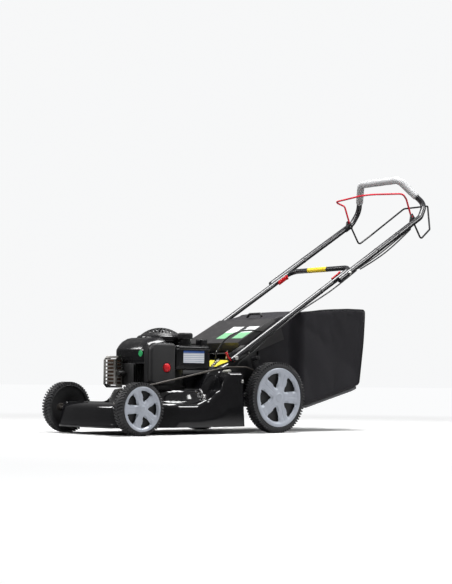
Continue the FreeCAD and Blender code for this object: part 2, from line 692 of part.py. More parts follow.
def make_crank():
    bottom = D.blade_height - 4
    shaft_top = D.blower_top - 34
    shaft = rod("crankshaft_rod", "crankshaft_radius", shaft_top - bottom - 14, 0, "crank_back", bottom + 14)
    node("crankshaft", shaft)
    adapter = [
        Part.makeCylinder(18, D.pulley_height + D.pulley_width - D.blade_height - D.blade_wall,
                          V(0, 0, D.blade_height + D.blade_wall), Z_AXIS),
        Part.makeCylinder(36, 6, V(0, 0, D.blade_height + D.blade_wall), Z_AXIS)]
    groove = D.engine_pulley_radius
    half = D.pulley_width / 2
    profile = [V(0, 0, D.pulley_height), V(groove + 5, 0, D.pulley_height),
               V(groove + 5, 0, D.pulley_height + 2),
               V(groove - 5, 0, D.pulley_height + half - 1), V(groove - 5, 0, D.pulley_height + half + 1),
               V(groove + 5, 0, D.pulley_height + 2 * half - 2), V(groove + 5, 0, D.pulley_height + 2 * half),
               V(0, 0, D.pulley_height + 2 * half)]
    adapter.append(polygon_face(profile).revolve(V(), Z_AXIS, 360))
    boss = fused(adapter).cut(Part.makeCylinder(
        D.crankshaft_radius + 0.02, 200, V(0, 0, D.blade_height + D.blade_wall + 6), Z_AXIS))
    boss = boss.cut(Part.makeCylinder(5.02, 200, V(0, 0, 0), Z_AXIS))
    node("blade_adapter", place(shaped("blade_adapter_shape", boss), 0, "crank_back", 0))

    # Flat bar, its trailing wings turned up to throw the grass back.
    half_wide = D.blade_width / 2
    flat = Part.makeBox(2 * D.blade_radius, D.blade_width, D.blade_wall,
                        V(-D.blade_radius, -half_wide, D.blade_height))
    wing = slab([(half_wide - 2, D.blade_height), (half_wide + 16, D.blade_height + 20),
                 (half_wide + 13, D.blade_height + 22), (half_wide - 6, D.blade_height + D.blade_wall)],
                D.blade_radius - 90, D.blade_radius - 12)
    other = wing.copy()
    other.rotate(V(), Z_AXIS, 180)
    blade = fused([flat, wing, other]).common(
        Part.makeCylinder(D.blade_radius, 60, V(0, 0, D.blade_height - 5), Z_AXIS))
    blade = blade.cut(Part.makeCylinder(5.05, 40, V(0, 0, D.blade_height - 10), Z_AXIS))
    node("blade", place(shaped("blade_shape", blade), 0, "crank_back", 0))

    head = Part.makeCylinder(9, 7, V(0, 0, D.blade_height - 10), Z_AXIS)
    washer = Part.makeCylinder(17, 3, V(0, 0, D.blade_height - 3), Z_AXIS)
    shank = Part.makeCylinder(5, D.blade_wall + 5, V(0, 0, D.blade_height - 0.5), Z_AXIS)
    node("blade_bolt", place(shaped("blade_bolt_shape", fused([head, washer, shank])), 0, "crank_back", 0))

    outline = [("blower_top - 80", "crankshaft_radius + 0.02"), ("blower_top - 80", "30"),
               ("blower_top - 76", "flywheel_radius - 6"), ("blower_top - 80 + flywheel_rise - 4",
                                                            "flywheel_radius - 6"),
               ("blower_top - 80 + flywheel_rise - 4", "flywheel_radius"),
               ("blower_top - 80 + flywheel_rise", "flywheel_radius"), ("blower_top - 80 + flywheel_rise",
                                                                        "24"),
               ("blower_top - 80 + flywheel_rise", "crankshaft_radius + 0.02")]
    wheel = revolved_body("flywheel_body", outline, 0, 0, 0)
    wheel.Placement = FreeCAD.Placement(V(0, D.crank_back, 0), FreeCAD.Rotation(Y_AXIS, -90))
    node("flywheel", wheel)


def make_engine():
    base = D.deck_top
    case_top = base + 90
    crank = V(0, D.crank_back, 0)

    flange = box("case_flange", (-88, 88), (D.crank_back - 80, D.crank_back + 56),
                 ("deck_top", "deck_top + flange_wall"))
    barrel = rod("case_barrel", "case_radius", case_top - base - D.flange_wall, 0, "crank_back",
                 "deck_top + flange_wall")
    sump = rod("case_sump", 28.0, 24.0, 0, "crank_back", "deck_top - 24")
    collar = rod("case_collar", 24.0, 10.0, 0, "crank_back", case_top)
    case = fuse("case_whole", [flange, barrel, sump, collar])
    bore = rod("case_bore", "crankshaft_radius + axle_gap", 220.0, 0, "crank_back", base - 60)
    relief = shaped("case_relief", slab(
        [(344, base - 5), (343, base), (411, 246), (411, 300), (440, 300), (440, base - 5)], -100, 100))
    holes = []
    for x in (-72, 72):
        for y in BOLT_ROWS:
            holes.append(rod("case_hole", 4.2, 60.0, x, D.crank_back + y, base - 20))
    node("crankcase", cut("crankcase_cut", case, fuse("case_bores", [bore, relief] + holes)))

    # Cylinder pointing forward, finned all round, with its head at the front.
    block = [Part.makeBox(2 * 40, 110, 76, V(-40, D.crank_back - 170, base + 22))]
    for i in range(int(D.fin_count)):
        y = D.crank_back - 172 + i * 9.0
        block.append(Part.makeBox(D.bore_block_width, D.fin_wall, 86,
                                  V(-D.bore_block_width / 2, y, base + 16)))
    finned = fused(block).cut(Part.makeCylinder(D.case_radius + 0.3, 120, crank + V(0, 0, base), Z_AXIS))
    finned = finned.cut(Part.makeCylinder(7.05, 30, V(0, D.crank_back - 175, base + 62), Y_AXIS))
    node("cylinder", shaped("cylinder_shape", finned))

    plug = fused([
        Part.makeCylinder(7, 16, V(0, D.crank_back - 176, base + 62), Y_AXIS),
        Part.makeCylinder(9, 8, V(0, D.crank_back - 182, base + 62), Y_AXIS),
        Part.makeCylinder(10, 24, V(0, D.crank_back - 206, base + 62), Y_AXIS)])
    node("spark_plug", shaped("spark_plug_shape", plug))

    silencer = box("silencer_can", (-85, -18), (D.crank_back - 202, D.crank_back - 176),
                   ("deck_top + 18", "deck_top + 116"))
    rounded = doc.addObject("Part::Fillet", "silencer_round")
    rounded.Base = silencer
    doc.recompute()
    rounded.Edges = [(i, 8.0, 8.0) for i in (1, 3, 5, 7)]
    pipe = rod("silencer_pipe", 9.0, 34.0, -30, D.crank_back - 192, base + 60, TO_Y)
    clear = shaped("silencer_clear", Part.makeBox(140, 100, 120, V(-70, D.crank_back - 173, base)))
    node("muffler", cut("silencer_trim", fuse("silencer", [rounded, pipe]), clear))

    low, high = base + 6, base + 130
    front = D.crank_back - 211
    cage = Part.makeBox(79, 34, high - low, V(-92, front, low))
    cage = cage.makeChamfer(14, [e for e in cage.Edges if abs(e.CenterOfMass.y - front) < 0.1 and
                                 abs(e.tangentAt(0).y) < 0.1 and abs(e.tangentAt(0).z) < 0.1])
    cage = cage.cut(Part.makeBox(74, 40, high - low - 16, V(-89.5, front + 2.5, low + 8)))
    for i in range(7):
        slot_z = low + 15 + i * (high - low - 38) / 6
        cage = cage.cut(Part.makeBox(55, 80, 8, V(-80, front - 40, slot_z)))
        cage = cage.cut(Part.makeBox(200, 20, 8, V(-150, front + 8, slot_z)))
    node("muffler_guard", shaped("muffler_guard_shape", cage))

    def cowl(inset):
        """The blower housing's outer form, or its hollow."""
        bottom = D.blower_top - 101 - (1 if inset else 0)
        top = D.blower_top - inset
        front_face = D.crank_back - 163 + inset
        rear_face = D.crank_back + 110 - inset
        right = -92 + inset
        left_front, left_rear = 110 - inset, 86 - inset
        plan = [(right, front_face + 14), (right + 14, front_face), (left_front - 12, front_face),
                (left_front, front_face + 12), (left_front, D.crank_back - 54 - inset), (left_rear,
                                                                                         D.crank_back - 42),
                (left_rear, rear_face - 40), (left_rear - 40, rear_face), (right + 40, rear_face), (right,
                                                                                                    rear_face - 40)]
        solid = polygon_face([V(x, y, bottom) for x, y in plan]).extrude(V(0, 0, top - bottom))
        slope = slab([(front_face - 5, top - 36), (front_face + 34, top + 0.5), (front_face + 34, top + 20),
                      (front_face - 5, top + 20)], -200, 200)
        return solid.cut(slope)

    shell = cowl(0).cut(cowl(D.blower_wall))
    shell = shell.cut(Part.makeCylinder(D.grille_radius - 9, 40, crank + V(0, 0, D.blower_top - 20), Z_AXIS))
    shell = shell.cut(Part.makeCylinder(4, 40, V(-60, D.crank_back + 90, D.blower_top - 22), Y_AXIS))
    node("blower_housing", shaped("blower_housing_shape", shell))

    # Recoil starter cover: a shallow dome of slanting ribs over a plain rim.
    rise = D.grille_rise
    edge = D.grille_radius - 3
    sphere = (edge * edge + rise * rise) / (2 * rise)
    centre = crank + V(0, 0, D.blower_top + 8 + rise - sphere)
    dome = Part.makeSphere(sphere, centre).common(
        Part.makeCylinder(edge, rise + 1, crank + V(0, 0, D.blower_top + 8), Z_AXIS))
    rim = Part.makeCylinder(D.grille_radius, 10, crank + V(0, 0, D.blower_top), Z_AXIS)
    whole = fused([dome, rim])
    hollow = Part.makeSphere(sphere - 3, centre).common(
        Part.makeCylinder(edge - 3, rise + 20, crank + V(0, 0, D.blower_top - 1), Z_AXIS))
    under = Part.makeCylinder(edge - 3, 7, crank + V(0, 0, D.blower_top - 0.5), Z_AXIS)
    whole = whole.cut(hollow.fuse(under))
    slots = []
    for i in range(-5, 6):
        offset = i * 13.0
        reach = math.sqrt(max(0, 68 ** 2 - offset ** 2))
        slot = Part.makeBox(6, 2 * reach, 60, V(offset - 3, -reach, D.blower_top + 9))
        slot.rotate(V(), Z_AXIS, 35)
        slot.translate(crank)
        slots.append(slot)
    keep = Part.makeCylinder(19, 80, crank + V(0, 0, D.blower_top), Z_AXIS)
    cutter = slots[0].fuse(slots[1:]).cut(keep)
    whole = whole.cut(cutter)
    post = Part.makeCylinder(8, rise + 34, crank + V(0, 0, D.blower_top - 28), Z_AXIS)
    node("starter_cover", shaped("starter_cover_shape", fused([whole, post])))

    outline = [("blower_top - 26", "8 + axle_gap"), ("blower_top - 26", "46"), ("blower_top - 23", "46"),
               ("blower_top - 21", "38"), ("blower_top - 13", "38"), ("blower_top - 11", "46"),
               ("blower_top - 8", "46"), ("blower_top - 8", "8 + axle_gap")]
    reel = revolved_body("starter_reel", outline, 0, 0, 0)
    reel.Placement = FreeCAD.Placement(crank, FreeCAD.Rotation(Y_AXIS, -90))
    node("starter_pulley", reel)

    pull = V(-0.1, 0.88, 0.46).normalize()
    eyelet = V(-60, D.crank_back + 112, D.blower_top - 20)
    grip_middle = eyelet + pull * 20
    across = V(1, 0, 0)
    handle = fused([
        bar([grip_middle - across * 38 + V(0, -3, 4), grip_middle,
             grip_middle + across * 38 + V(0, -3, 4)], [60], 9),
        Part.makeCone(6, 9, 17, eyelet + pull * 3, pull)])
    handle = handle.cut(Part.makeCylinder(2.2, 60, eyelet, pull))
    node("starter_grip", shaped("starter_grip_shape", handle))

    # Carburettor body with its air cleaner outside it, on the left.
    low_z = base + 30
    body = fused([
        Part.makeBox(36, 92, 138, V(112.5, D.crank_back - 168, low_z)),
        Part.makeBox(50, 40, 44, V(64, D.crank_back - 112, low_z + 8))])
    body = body.cut(Part.makeCylinder(D.case_radius + 1, 200, crank + V(0, 0, base), Z_AXIS))
    node("carburettor", shaped("carburettor_shape", body))

    face = D.filter_face
    plan = [(149, D.crank_back - 178), (face - 14, D.crank_back - 176), (face, D.crank_back - 160),
            (face, D.crank_back - 62), (face - 4, D.crank_back - 58), (149, D.crank_back - 58)]
    bottom, top = base + 26, base + 179
    shape = polygon_face([V(x, y, bottom) for x, y in plan]).extrude(V(0, 0, top - bottom))
    bevel = [(face - 9, top + 1), (face + 20, top + 1), (face + 20, top - 14), (face + 1, top - 9)]
    shape = shape.cut(polygon_face([V(x, D.crank_back - 200, z) for x, z in bevel]).extrude(V(0, 200, 0)))
    inner = Part.makeBox(face - 149 - 3.5, 108, top - bottom - 8, V(148, D.crank_back - 168, bottom + 4))
    inner = inner.cut(Part.makeBox(40, 60, 30, V(140, D.crank_back - 178, top - 16)))
    shape = shape.cut(inner)
    primer = V(face, D.crank_back - 103, base + 85)
    sleeve = Part.makeCylinder(D.primer_radius + 6, 19, primer - V(21, 0, 0), X_AXIS)
    shape = shape.fuse(sleeve).removeSplitter()
    shape = shape.cut(Part.makeCylinder(D.primer_radius + 0.5, 60, primer - V(40, 0, 0), X_AXIS))
    shape = shape.cut(Part.makeCylinder(D.primer_radius + 5, 10, primer - V(4, 0, 0), X_AXIS))
    node("filter_cover", shaped("filter_cover_shape", shape))
    bulb = Part.makeSphere(D.primer_radius, V()).cut(Part.makeBox(60, 60, 60, V(-60, -30, -30)))
    bulb = fused([bulb, Part.makeCylinder(D.primer_radius, 7, V(-7, 0, 0), X_AXIS)])
    bulb.translate(primer - V(7, 0, 0))
    node("primer_bulb", shaped("primer_bulb_shape", bulb))


def make_tank():
    right = 93.5
    front, rear = D.crank_back - 38, D.crank_back + 140
    step_back = rear - 26
    bottom = D.deck_top + 70
    middle = V((right + D.tank_face) / 2, D.crank_back + 29, 0)
    wall = D.tank_wall
    shell = box("tank_shell", (right, "tank_face"), (front, step_back), (bottom, "tank_top"))
    heel = box("tank_heel", (right, "tank_face"), (step_back, rear), (bottom + 24, "tank_top"))
    hollow = box("tank_hollow", (right + wall, "tank_face - tank_wall"), (front + wall, step_back - wall),
                 (bottom + wall, "tank_top - tank_wall"))
    heel_hollow = box("heel_hollow", (right + wall, "tank_face - tank_wall"),
                      (step_back - wall - 1, rear - wall),
                      (bottom + 24 + wall, "tank_top - tank_wall"))
    seam = box("tank_seam", (right - 1.5, "tank_face + 3"), (front - 2, rear + 3),
               ("tank_top - 17", "tank_top - 13"))
    neck = rod("tank_neck", "neck_radius", 50.0, middle.x, middle.y, "tank_top - 2")
    bore = rod("tank_bore", "neck_radius - tank_wall", 80.0, middle.x, middle.y, "tank_top - 20")
    step = box("tank_step", (right, "tank_face - 18"), (rear - 38, rear - 2),
               ("tank_top - 1", "tank_top + 30"))
    whole = fuse("tank_whole", [shell, heel, seam, neck, step])
    node("fuel_tank", cut("fuel_tank_cut", whole, fuse("tank_inside", [hollow, heel_hollow, bore])))
    lid = rod("cap_lid", "cap_radius", "cap_rise", middle.x, middle.y, "tank_top + 48 - cap_rise + 4")
    thread = rod("cap_thread", "neck_radius + 0.3", "cap_rise - 4", middle.x, middle.y,
                 "tank_top + 48 - cap_rise + 4")
    node("fuel_cap", cut("fuel_cap_cut", lid, thread))


# ---------------------------------------------------------------- handle and its controls

def bolt(x_head, x_end, y, z, head_radius=8.0):
    """A bolt along X, its head at one end and its nut at the other."""
    sign = 1 if x_end > x_head else -1
    low, high = min(x_head, x_end), max(x_head, x_end)
    pieces = [Part.makeCylinder(D.bolt_radius, high - low, V(low, y, z), X_AXIS)]
    head_low = x_head if sign > 0 else x_head - 5
    nut_low = x_end - 5 if sign > 0 else x_end
    pieces.append(Part.makeCylinder(head_radius, 5, V(head_low, y, z), X_AXIS))
    pieces.append(Part.makeCylinder(head_radius - 1.5, 5, V(nut_low, y, z), X_AXIS))
    return fused(pieces)


def make_handle():
    gauge = D.lower_half_gauge
    left = [on_handle(-18, 0, gauge), on_handle(D.crossbar_along, 0, gauge)]
    lower = tube(left + mirror_x(left), [45, 45], D.lower_tube_radius, D.tube_wall)
    fold = on_handle(D.fold_along)
    for hole in (FOOT, fold):
        lower = lower.cut(Part.makeCylinder(
            D.bolt_radius + D.axle_gap, 500, V(-250, hole.y, hole.z), X_AXIS))
    node("lower_handle", shaped("lower_handle_shape", lower))

    bend = on_handle(D.bend_along, 0, UPPER_GAUGE)
    shoulder = bend + V(-8, 38, 60)
    corner = V(118, shoulder.y - 77, shoulder.z + 114)
    side = [on_handle(D.fold_along - D.overlap, 0, UPPER_GAUGE), bend, shoulder, corner]
    upper = tube(side + mirror_x(side), [60, 45, 40, 40, 45, 60], D.upper_tube_radius, D.tube_wall)
    upper = upper.cut(Part.makeCylinder(D.bolt_radius + D.axle_gap, 500, V(-250, fold.y, fold.z), X_AXIS))
    node("upper_handle", shaped("upper_handle_shape", upper))

    start = shoulder + (corner - shoulder) * 0.3
    half_path = [start, corner]
    foam_path = filleted_path(half_path + mirror_x(half_path), [40, 40])
    foam = swept(foam_path, D.grip_radius).cut(swept(foam_path, D.upper_tube_radius + D.seat_gap))
    node("grip_foam", shaped("grip_foam_shape", foam))

    # Bails of round wire, hooked into a bracket on the inside of each upper leg.
    brake_pin = on_handle(D.bail_along + 8, 21)
    drive_pin = on_handle(D.bail_along + 8, 0)
    plate_high = UPPER_GAUGE - D.upper_tube_radius - 0.3
    hook_x = plate_high - 8
    brake_side = [V(plate_high, brake_pin.y, brake_pin.z), V(hook_x, brake_pin.y, brake_pin.z),
                  V(hook_x, brake_pin.y - 32, brake_pin.z + 75), V(212, brake_pin.y - 76, brake_pin.z + 94)]
    crown = V(0, brake_pin.y - 91, brake_pin.z + 108)
    brake = bar(brake_side + [crown] + mirror_x(brake_side), [5, 18, 14, 700, 14, 18, 5], D.bail_wire_radius)
    node("brake_bail", shaped("brake_bail_shape", brake))
    drive_side = [V(plate_high, drive_pin.y, drive_pin.z), V(hook_x, drive_pin.y, drive_pin.z),
                  V(hook_x, drive_pin.y + 54, drive_pin.z - 79), V(182, drive_pin.y + 127, drive_pin.z - 29),
                  V(74, drive_pin.y + 236, drive_pin.z + 96)]
    drive = bar(drive_side + mirror_x(drive_side), [5, 14, 14, 16, 16, 14, 14, 5], D.bail_wire_radius)
    node("drive_bail", shaped("drive_bail_shape", drive))

    brackets = []
    for sign in (1, -1):
        low = plate_high - 3 if sign > 0 else -plate_high
        corners = [on_handle(D.bail_along - 26, -10), on_handle(D.bail_along - 20, 10),
                   on_handle(D.bail_along, 32),
                   on_handle(D.bail_along + 16, 32), on_handle(D.bail_along + 24, -10)]
        plate = slab([(p.y, p.z) for p in corners], low, low + 3)
        for pin in (brake_pin, drive_pin):
            plate = plate.cut(Part.makeCylinder(
                D.bail_wire_radius + D.axle_gap, 20, V(low - 8, pin.y, pin.z), X_AXIS))
        brackets.append(shaped("bracket_%d" % (sign + 2), plate))
    node("bail_brackets", group("bail_bracket_pair", brackets))

    # Shouldered bolts at the handle's feet, and the clamp bolts at its fold.
    bolts = []
    outer = UPPER_GAUGE + D.upper_tube_radius
    for sign in (1, -1):
        bolts.append(shaped("foot_bolt_%d" % (sign + 2), bolt(
            sign * (gauge + D.lower_tube_radius + 5.3), sign * (D.tunnel_half - 6), FOOT.y, FOOT.z)))
        bolts.append(shaped("fold_bolt_%d" % (sign + 2), bolt(
            sign * (outer + 5.3), sign * (gauge - D.lower_tube_radius - 5.2), fold.y, fold.z, 9.0)))
    node("handle_bolts", group("handle_bolt_set", bolts))

    # Cam levers lie along the inside of the lower legs and swing inward to open.
    for side_name, sign in (("left", 1), ("right", -1)):
        pivot_x = gauge - D.lower_tube_radius - 12
        middle = V(sign * pivot_x, fold.y, fold.z)
        cam = Part.makeCylinder(5.5, 18, middle - RAISED * 9, RAISED)
        width = 16.0
        near = sign * (pivot_x - 2.5)
        far = sign * (pivot_x + 3.5)
        tip = middle - ALONG * 56
        corners = [middle + RAISED * width / 2, tip + RAISED * width / 2, tip - RAISED * width / 2,
                   middle - RAISED * width / 2]
        strap = polygon_face([V(near, p.y, p.z) for p in corners]).extrude(V(far - near, 0, 0))
        node("clamp_lever_" + side_name, shaped("clamp_lever_shape_" + side_name, fused([cam, strap])))


def cable(points):
    """A control cable: each bend as large as its two runs allow."""
    radii = []
    for i in range(1, len(points) - 1):
        back = points[i - 1] - points[i]
        ahead = points[i + 1] - points[i]
        half_turn = (math.pi - back.getAngle(ahead)) / 2
        radii.append(0.45 * min(back.Length, ahead.Length) / math.tan(half_turn))
    print("cable arc radii", [round(r) for r in radii])
    path = filleted_path(points, radii)
    tube_shape = swept(path, D.cable_radius)
    plain = math.pi * D.cable_radius ** 2 * path.Length
    print("cable length %.0f, volume / (section x length) %.4f" % (path.Length, tube_shape.Volume / plain))
    return tube_shape


def make_cables():
    """Two cables: one along the inside of the left leg, one under it and then outside it."""
    below = -(D.upper_tube_radius + D.cable_radius + 1.5)
    inside = D.lower_half_gauge - D.lower_tube_radius - D.cable_radius - 1.5
    outside = D.lower_half_gauge + D.lower_tube_radius + D.cable_radius + 1.5
    upper = []
    for index, drop in enumerate((0.0, -8.0)):
        x = UPPER_GAUGE - 8 + 9 * index
        upper.append(shaped("upper_cable_%d" % index, cable([
            on_handle(D.bail_along - 34 - 14 * index, below, x), on_handle(1060, below + drop - 4, x),
            on_handle(920, below + drop - 8, x - 2), on_handle(800, below + drop / 2, x - 3)])))
    node("upper_cables", group("upper_cable_pair", upper))
    brake_end = on_handle(222, 0, inside)
    drive_end = on_handle(222, below, D.lower_half_gauge + 4)
    lower = [
        cable([on_handle(790, below + 1, inside), on_handle(640, below - 1, inside),
               on_handle(480, below + 9, inside - 0.5), on_handle(350, below + 15, inside), brake_end]),
        cable([on_handle(790, below - 4, outside - 8), on_handle(640, below - 9, outside - 8.5),
               on_handle(500, below + 3, outside), on_handle(390, below + 12, outside + 0.5),
               on_handle(310, below + 6, outside - 2), drive_end])]
    node("lower_cables", group("lower_cable_pair", [
        shaped("lower_cable_%d" % index, shape) for index, shape in enumerate(lower)]))
    start = on_handle(214, 0, inside)
    to_engine = cable([
        start, start + V(0, -44, 4), V(inside, 600, 414), V(inside + 0.5, 548, 407), V(inside - 1, 505, 392),
        V(166, 472, 364), V(156, 452, 330), V(150, 447, 298), V(149, 446, 270)])
    start = on_handle(214, below, D.lower_half_gauge + 4)
    gear_end = V(190, 520, 262)
    to_gearbox = cable([
        start, on_handle(150, below - 8, D.lower_half_gauge + 4),
        on_handle(70, below - 14, D.lower_half_gauge + 2), gear_end + V(0, 22, 26), gear_end])
    node("engine_cables", group("engine_cable_pair", [
        shaped("engine_cable_0", to_engine), shaped("engine_cable_1", to_gearbox)]))


# ---------------------------------------------------------------- rear flap and grass bag

def make_flap():
    hinge = (D.flap_hinge_back, D.flap_hinge_height)
    front = (hinge[0] - 55, hinge[1] + 40)
    crest = (hinge[0] + 140, hinge[1] + 144)
    top = [front, crest, (crest[0] + 45, crest[1] - 36), (crest[0] + 62, crest[1] - 84),
           (hinge[0] + 24, hinge[1] - 2), (hinge[0], hinge[1] - 9), (hinge[0] - 18, hinge[1] - 2)]
    solid = slab(top, -D.flap_half, D.flap_half)
    wall = D.flap_wall
    under = [(front[0] + wall, front[1] - wall), (crest[0], crest[1] - wall - 1),
             (crest[0] + 200, crest[1] - wall - 1),
             (crest[0] + 200, hinge[1] - 200), (front[0] - 100, hinge[1] - 200), (front[0] - 100,
                                                                                  hinge[1] + 6),
             (front[0] + wall + 28, hinge[1] + 6)]
    solid = solid.cut(slab(under, -D.flap_half + wall, D.flap_half - wall))
    solid = solid.cut(Part.makeCylinder(
        D.flap_rod_radius + D.axle_gap, 500, V(-250, hinge[0], hinge[1]), X_AXIS))
    node("rear_flap", shaped("rear_flap_shape", solid))
    half = D.tunnel_half + 0.3 + D.plate_wall + 2
    node("flap_rod", rod("flap_rod_bar", "flap_rod_radius", 2 * half, -half, "flap_hinge_back",
                         "flap_hinge_height", TO_X))


def bag_side(inset):
    """Side view of the grass bag, mouth at the front."""
    front = D.bag_mouth_back
    rear = front + D.bag_length
    low = D.bag_bottom
    top = D.bag_top
    return [(front - (5 if inset else 0), 212 + inset), (front - (5 if inset else 0), 402 - inset),
            (front + 76, 449 - inset),
            (front + 96, 470 - inset), (front + 192, top - 30 - inset), (front + 330, top - 10 - inset),
            (front + 500, top - inset), (rear - 14, top - 2 - inset), (rear - inset, top - 16 - inset),
            (rear - 61 - inset, low + 94 + inset), (rear - 97, low + 80 + inset), (front + 240,
                                                                                   low + 10 + inset),
            (front + 125, low + 10 + inset), (front + 85 + inset, low + 34 + inset), (front + 66 + inset,
                                                                                      206 + inset)]


def bag_form(inset):
    """Narrow at the mouth, between the wheels, and full width behind them."""
    side = slab(bag_side(inset), -D.bag_half - 10, D.bag_half + 10)
    front = D.bag_mouth_back
    rear = front + D.bag_length
    mouth_half = D.bag_mouth_half - inset
    half = D.bag_half - inset
    left = [(mouth_half, front - 20), (mouth_half, front + 172), (half, front + 222), (half, rear - 30),
            (half - 26, rear + 5)]
    plan = left + [(-x, y) for x, y in reversed(left)]
    column = polygon_face([V(x, y, 0) for x, y in plan]).extrude(V(0, 0, 700))
    return side.common(column)


def make_bag():
    shell = bag_form(0).cut(bag_form(3))
    node("bag_fabric", shaped("bag_fabric_shape", shell))

    front = D.bag_mouth_back
    rear = front + D.bag_length
    low = D.bag_bottom
    line = [(front + 82, low + 34), (front + 124, low + 9.7), (front + 240.2, low + 9.7),
            (rear - 96.8, low + 79.7),
            (rear - 70, low + 90)]
    outline = line + [(y, z - 11) for y, z in reversed(line)]
    tray = slab(outline, -D.bag_half + 8, D.bag_half - 8)
    for sign in (1, -1):
        for i in range(6):
            tray = tray.cut(Part.makeCylinder(
                10, 300, V(sign * (D.bag_half + 0), front + 90 + 72 * i, 0), Z_AXIS))
    narrow = Part.makeBox(2 * D.bag_half, 120, 400, V(-D.bag_half, front + 56, 0)).cut(
        Part.makeBox(2 * D.bag_mouth_half - 10, 120, 400, V(-D.bag_mouth_half + 5, front + 56, 0)))
    node("bag_tray", shaped("bag_tray_shape", tray.cut(narrow)))

    x = D.bag_mouth_half - 12
    ring_y = front - D.bag_wire_radius - 0.3
    left = [V(0.0, ring_y, 218), V(x, ring_y, 218), V(x, ring_y, 396)]
    ring = bar(left + [V(-x, ring_y, 396), V(-x, ring_y, 218), V(-0.5, ring_y, 218)], [20, 20, 20, 20],
               D.bag_wire_radius)
    carry_y = front + 120
    carry_z = D.bag_top - 50
    carry = bar([V(46, carry_y, carry_z + 2), V(36, carry_y + 4, carry_z + 18),
                 V(-36, carry_y + 4, carry_z + 18),
                 V(-46, carry_y, carry_z + 2)], [8, 8], 5)
    carry = carry.cut(bag_form(0))
    node("bag_frame", group("bag_frame_parts", [shaped("bag_ring", ring), shaped("bag_carry", carry)]))


make_wheels()
make_running_gear()
make_deck()
make_crank()
make_engine()
make_tank()
make_handle()
make_cables()
make_flap()
make_bag()
doc.recompute()

# ---------------------------------------------------------------- origin, checks and files

boxes = [thing.Shape.BoundBox for thing in nodes.values()]
low_y = min(b.YMin for b in boxes)
high_y = max(b.YMax for b in boxes)
shift = -(low_y + high_y) / 2
print("overall: x %.1f  y %.1f  z %.1f..%.1f  shift %.4f" % (
    max(b.XMax for b in boxes) - min(b.XMin for b in boxes), high_y - low_y,
    min(b.ZMin for b in boxes), max(b.ZMax for b in boxes), shift))
for thing in nodes.values():
    thing.setExpression("Placement.Base.y", None)
    base = thing.Placement
    base.Base = base.Base + V(0, shift, 0)
    thing.Placement = base
doc.recompute()

for thing in doc.Objects:
    if "Invalid" in thing.State or "Error" in thing.State:
        raise RuntimeError("%s failed: %s" % (thing.Name, thing.State))
os.makedirs("parts", exist_ok=True)
for label, thing in nodes.items():
    shape = thing.Shape
    if shape.isNull() or not shape.isValid() or not shape.Solids:
        raise RuntimeError(label + " has no sound shape")
    shape.exportStep("parts/%s.step" % label)
print(len(nodes), "sub-parts written")
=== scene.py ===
"""The look of a petrol lawn mower with a rear grass bag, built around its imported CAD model."""
import math
import bmesh
import bpy
from mathutils import Matrix, Vector, noise


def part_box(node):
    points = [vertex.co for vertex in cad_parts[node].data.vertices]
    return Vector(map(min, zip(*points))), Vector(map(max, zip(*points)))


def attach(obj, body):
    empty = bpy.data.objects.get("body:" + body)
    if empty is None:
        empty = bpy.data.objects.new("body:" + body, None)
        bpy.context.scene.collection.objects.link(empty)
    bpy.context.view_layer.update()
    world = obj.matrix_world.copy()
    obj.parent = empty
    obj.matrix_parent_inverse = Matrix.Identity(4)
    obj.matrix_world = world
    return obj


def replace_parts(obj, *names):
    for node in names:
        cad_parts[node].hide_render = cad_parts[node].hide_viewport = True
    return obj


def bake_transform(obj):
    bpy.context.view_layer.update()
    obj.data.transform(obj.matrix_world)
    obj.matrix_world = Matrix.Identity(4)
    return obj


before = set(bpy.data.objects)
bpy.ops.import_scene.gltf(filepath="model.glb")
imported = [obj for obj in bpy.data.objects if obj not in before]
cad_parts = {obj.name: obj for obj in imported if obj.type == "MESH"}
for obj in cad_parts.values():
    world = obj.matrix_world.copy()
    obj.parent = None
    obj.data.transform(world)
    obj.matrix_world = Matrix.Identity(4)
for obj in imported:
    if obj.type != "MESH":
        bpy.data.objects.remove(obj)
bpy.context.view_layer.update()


def fitted(nodes, kind, inputs=None, **settings):
    """A new node with its settings, and then its unlinked inputs' values."""
    made = nodes.new(kind)
    for key, value in settings.items():
        setattr(made, key, value)
    for key, value in (inputs or {}).items():
        made.inputs[key].default_value = value
    return made


def plugged(links, *rows):
    """Links given as (node, its output, next node, its input)."""
    for source, output, target, into in rows:
        links.new(source.outputs[output], target.inputs[into])


# ---- Camera, light and floor
# A tall studio frame: the mower stands on pale paper under a broad overhead softbox, with
# smaller ones at its left, front and right. The room is dim, so black enamel stays black.
front_low, front_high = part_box("front_tyre_left")
AXLE_BACK = (front_low[1] + front_high[1]) / 2
MM = 0.001
CAMERA_PLACE = (4560, -3299, 211)
FOCAL_LENGTH = 89.37
PAPER_RADIUS = 45


def spot(x, y, z):
    """A place in metres from millimetres: left, back from the front axle, and up."""
    return Vector((x * MM, AXLE_BACK + y * MM, z * MM))


scene = bpy.context.scene
scene.view_settings.view_transform = "Standard"
azimuth, pitch, roll = math.radians(49.26), math.radians(-3.48), math.radians(0.49)
back = Vector((math.sin(azimuth) * math.cos(pitch), -math.cos(azimuth) * math.cos(pitch), math.sin(pitch)))
level = Vector((math.cos(azimuth), math.sin(azimuth), 0))
upright = back.cross(level)
right = level * math.cos(roll) + upright * math.sin(roll)
above = upright * math.cos(roll) - level * math.sin(roll)
lens = bpy.data.cameras.new("studio_camera")
lens.lens = FOCAL_LENGTH
lens.sensor_width = 36
lens.clip_end = 200
camera = bpy.data.objects.new("studio_camera", lens)
camera_turn = Matrix((right, above, back)).transposed().to_4x4()
camera.matrix_world = Matrix.Translation(spot(*CAMERA_PLACE)) @ camera_turn
scene.collection.objects.link(camera)
scene.camera = camera


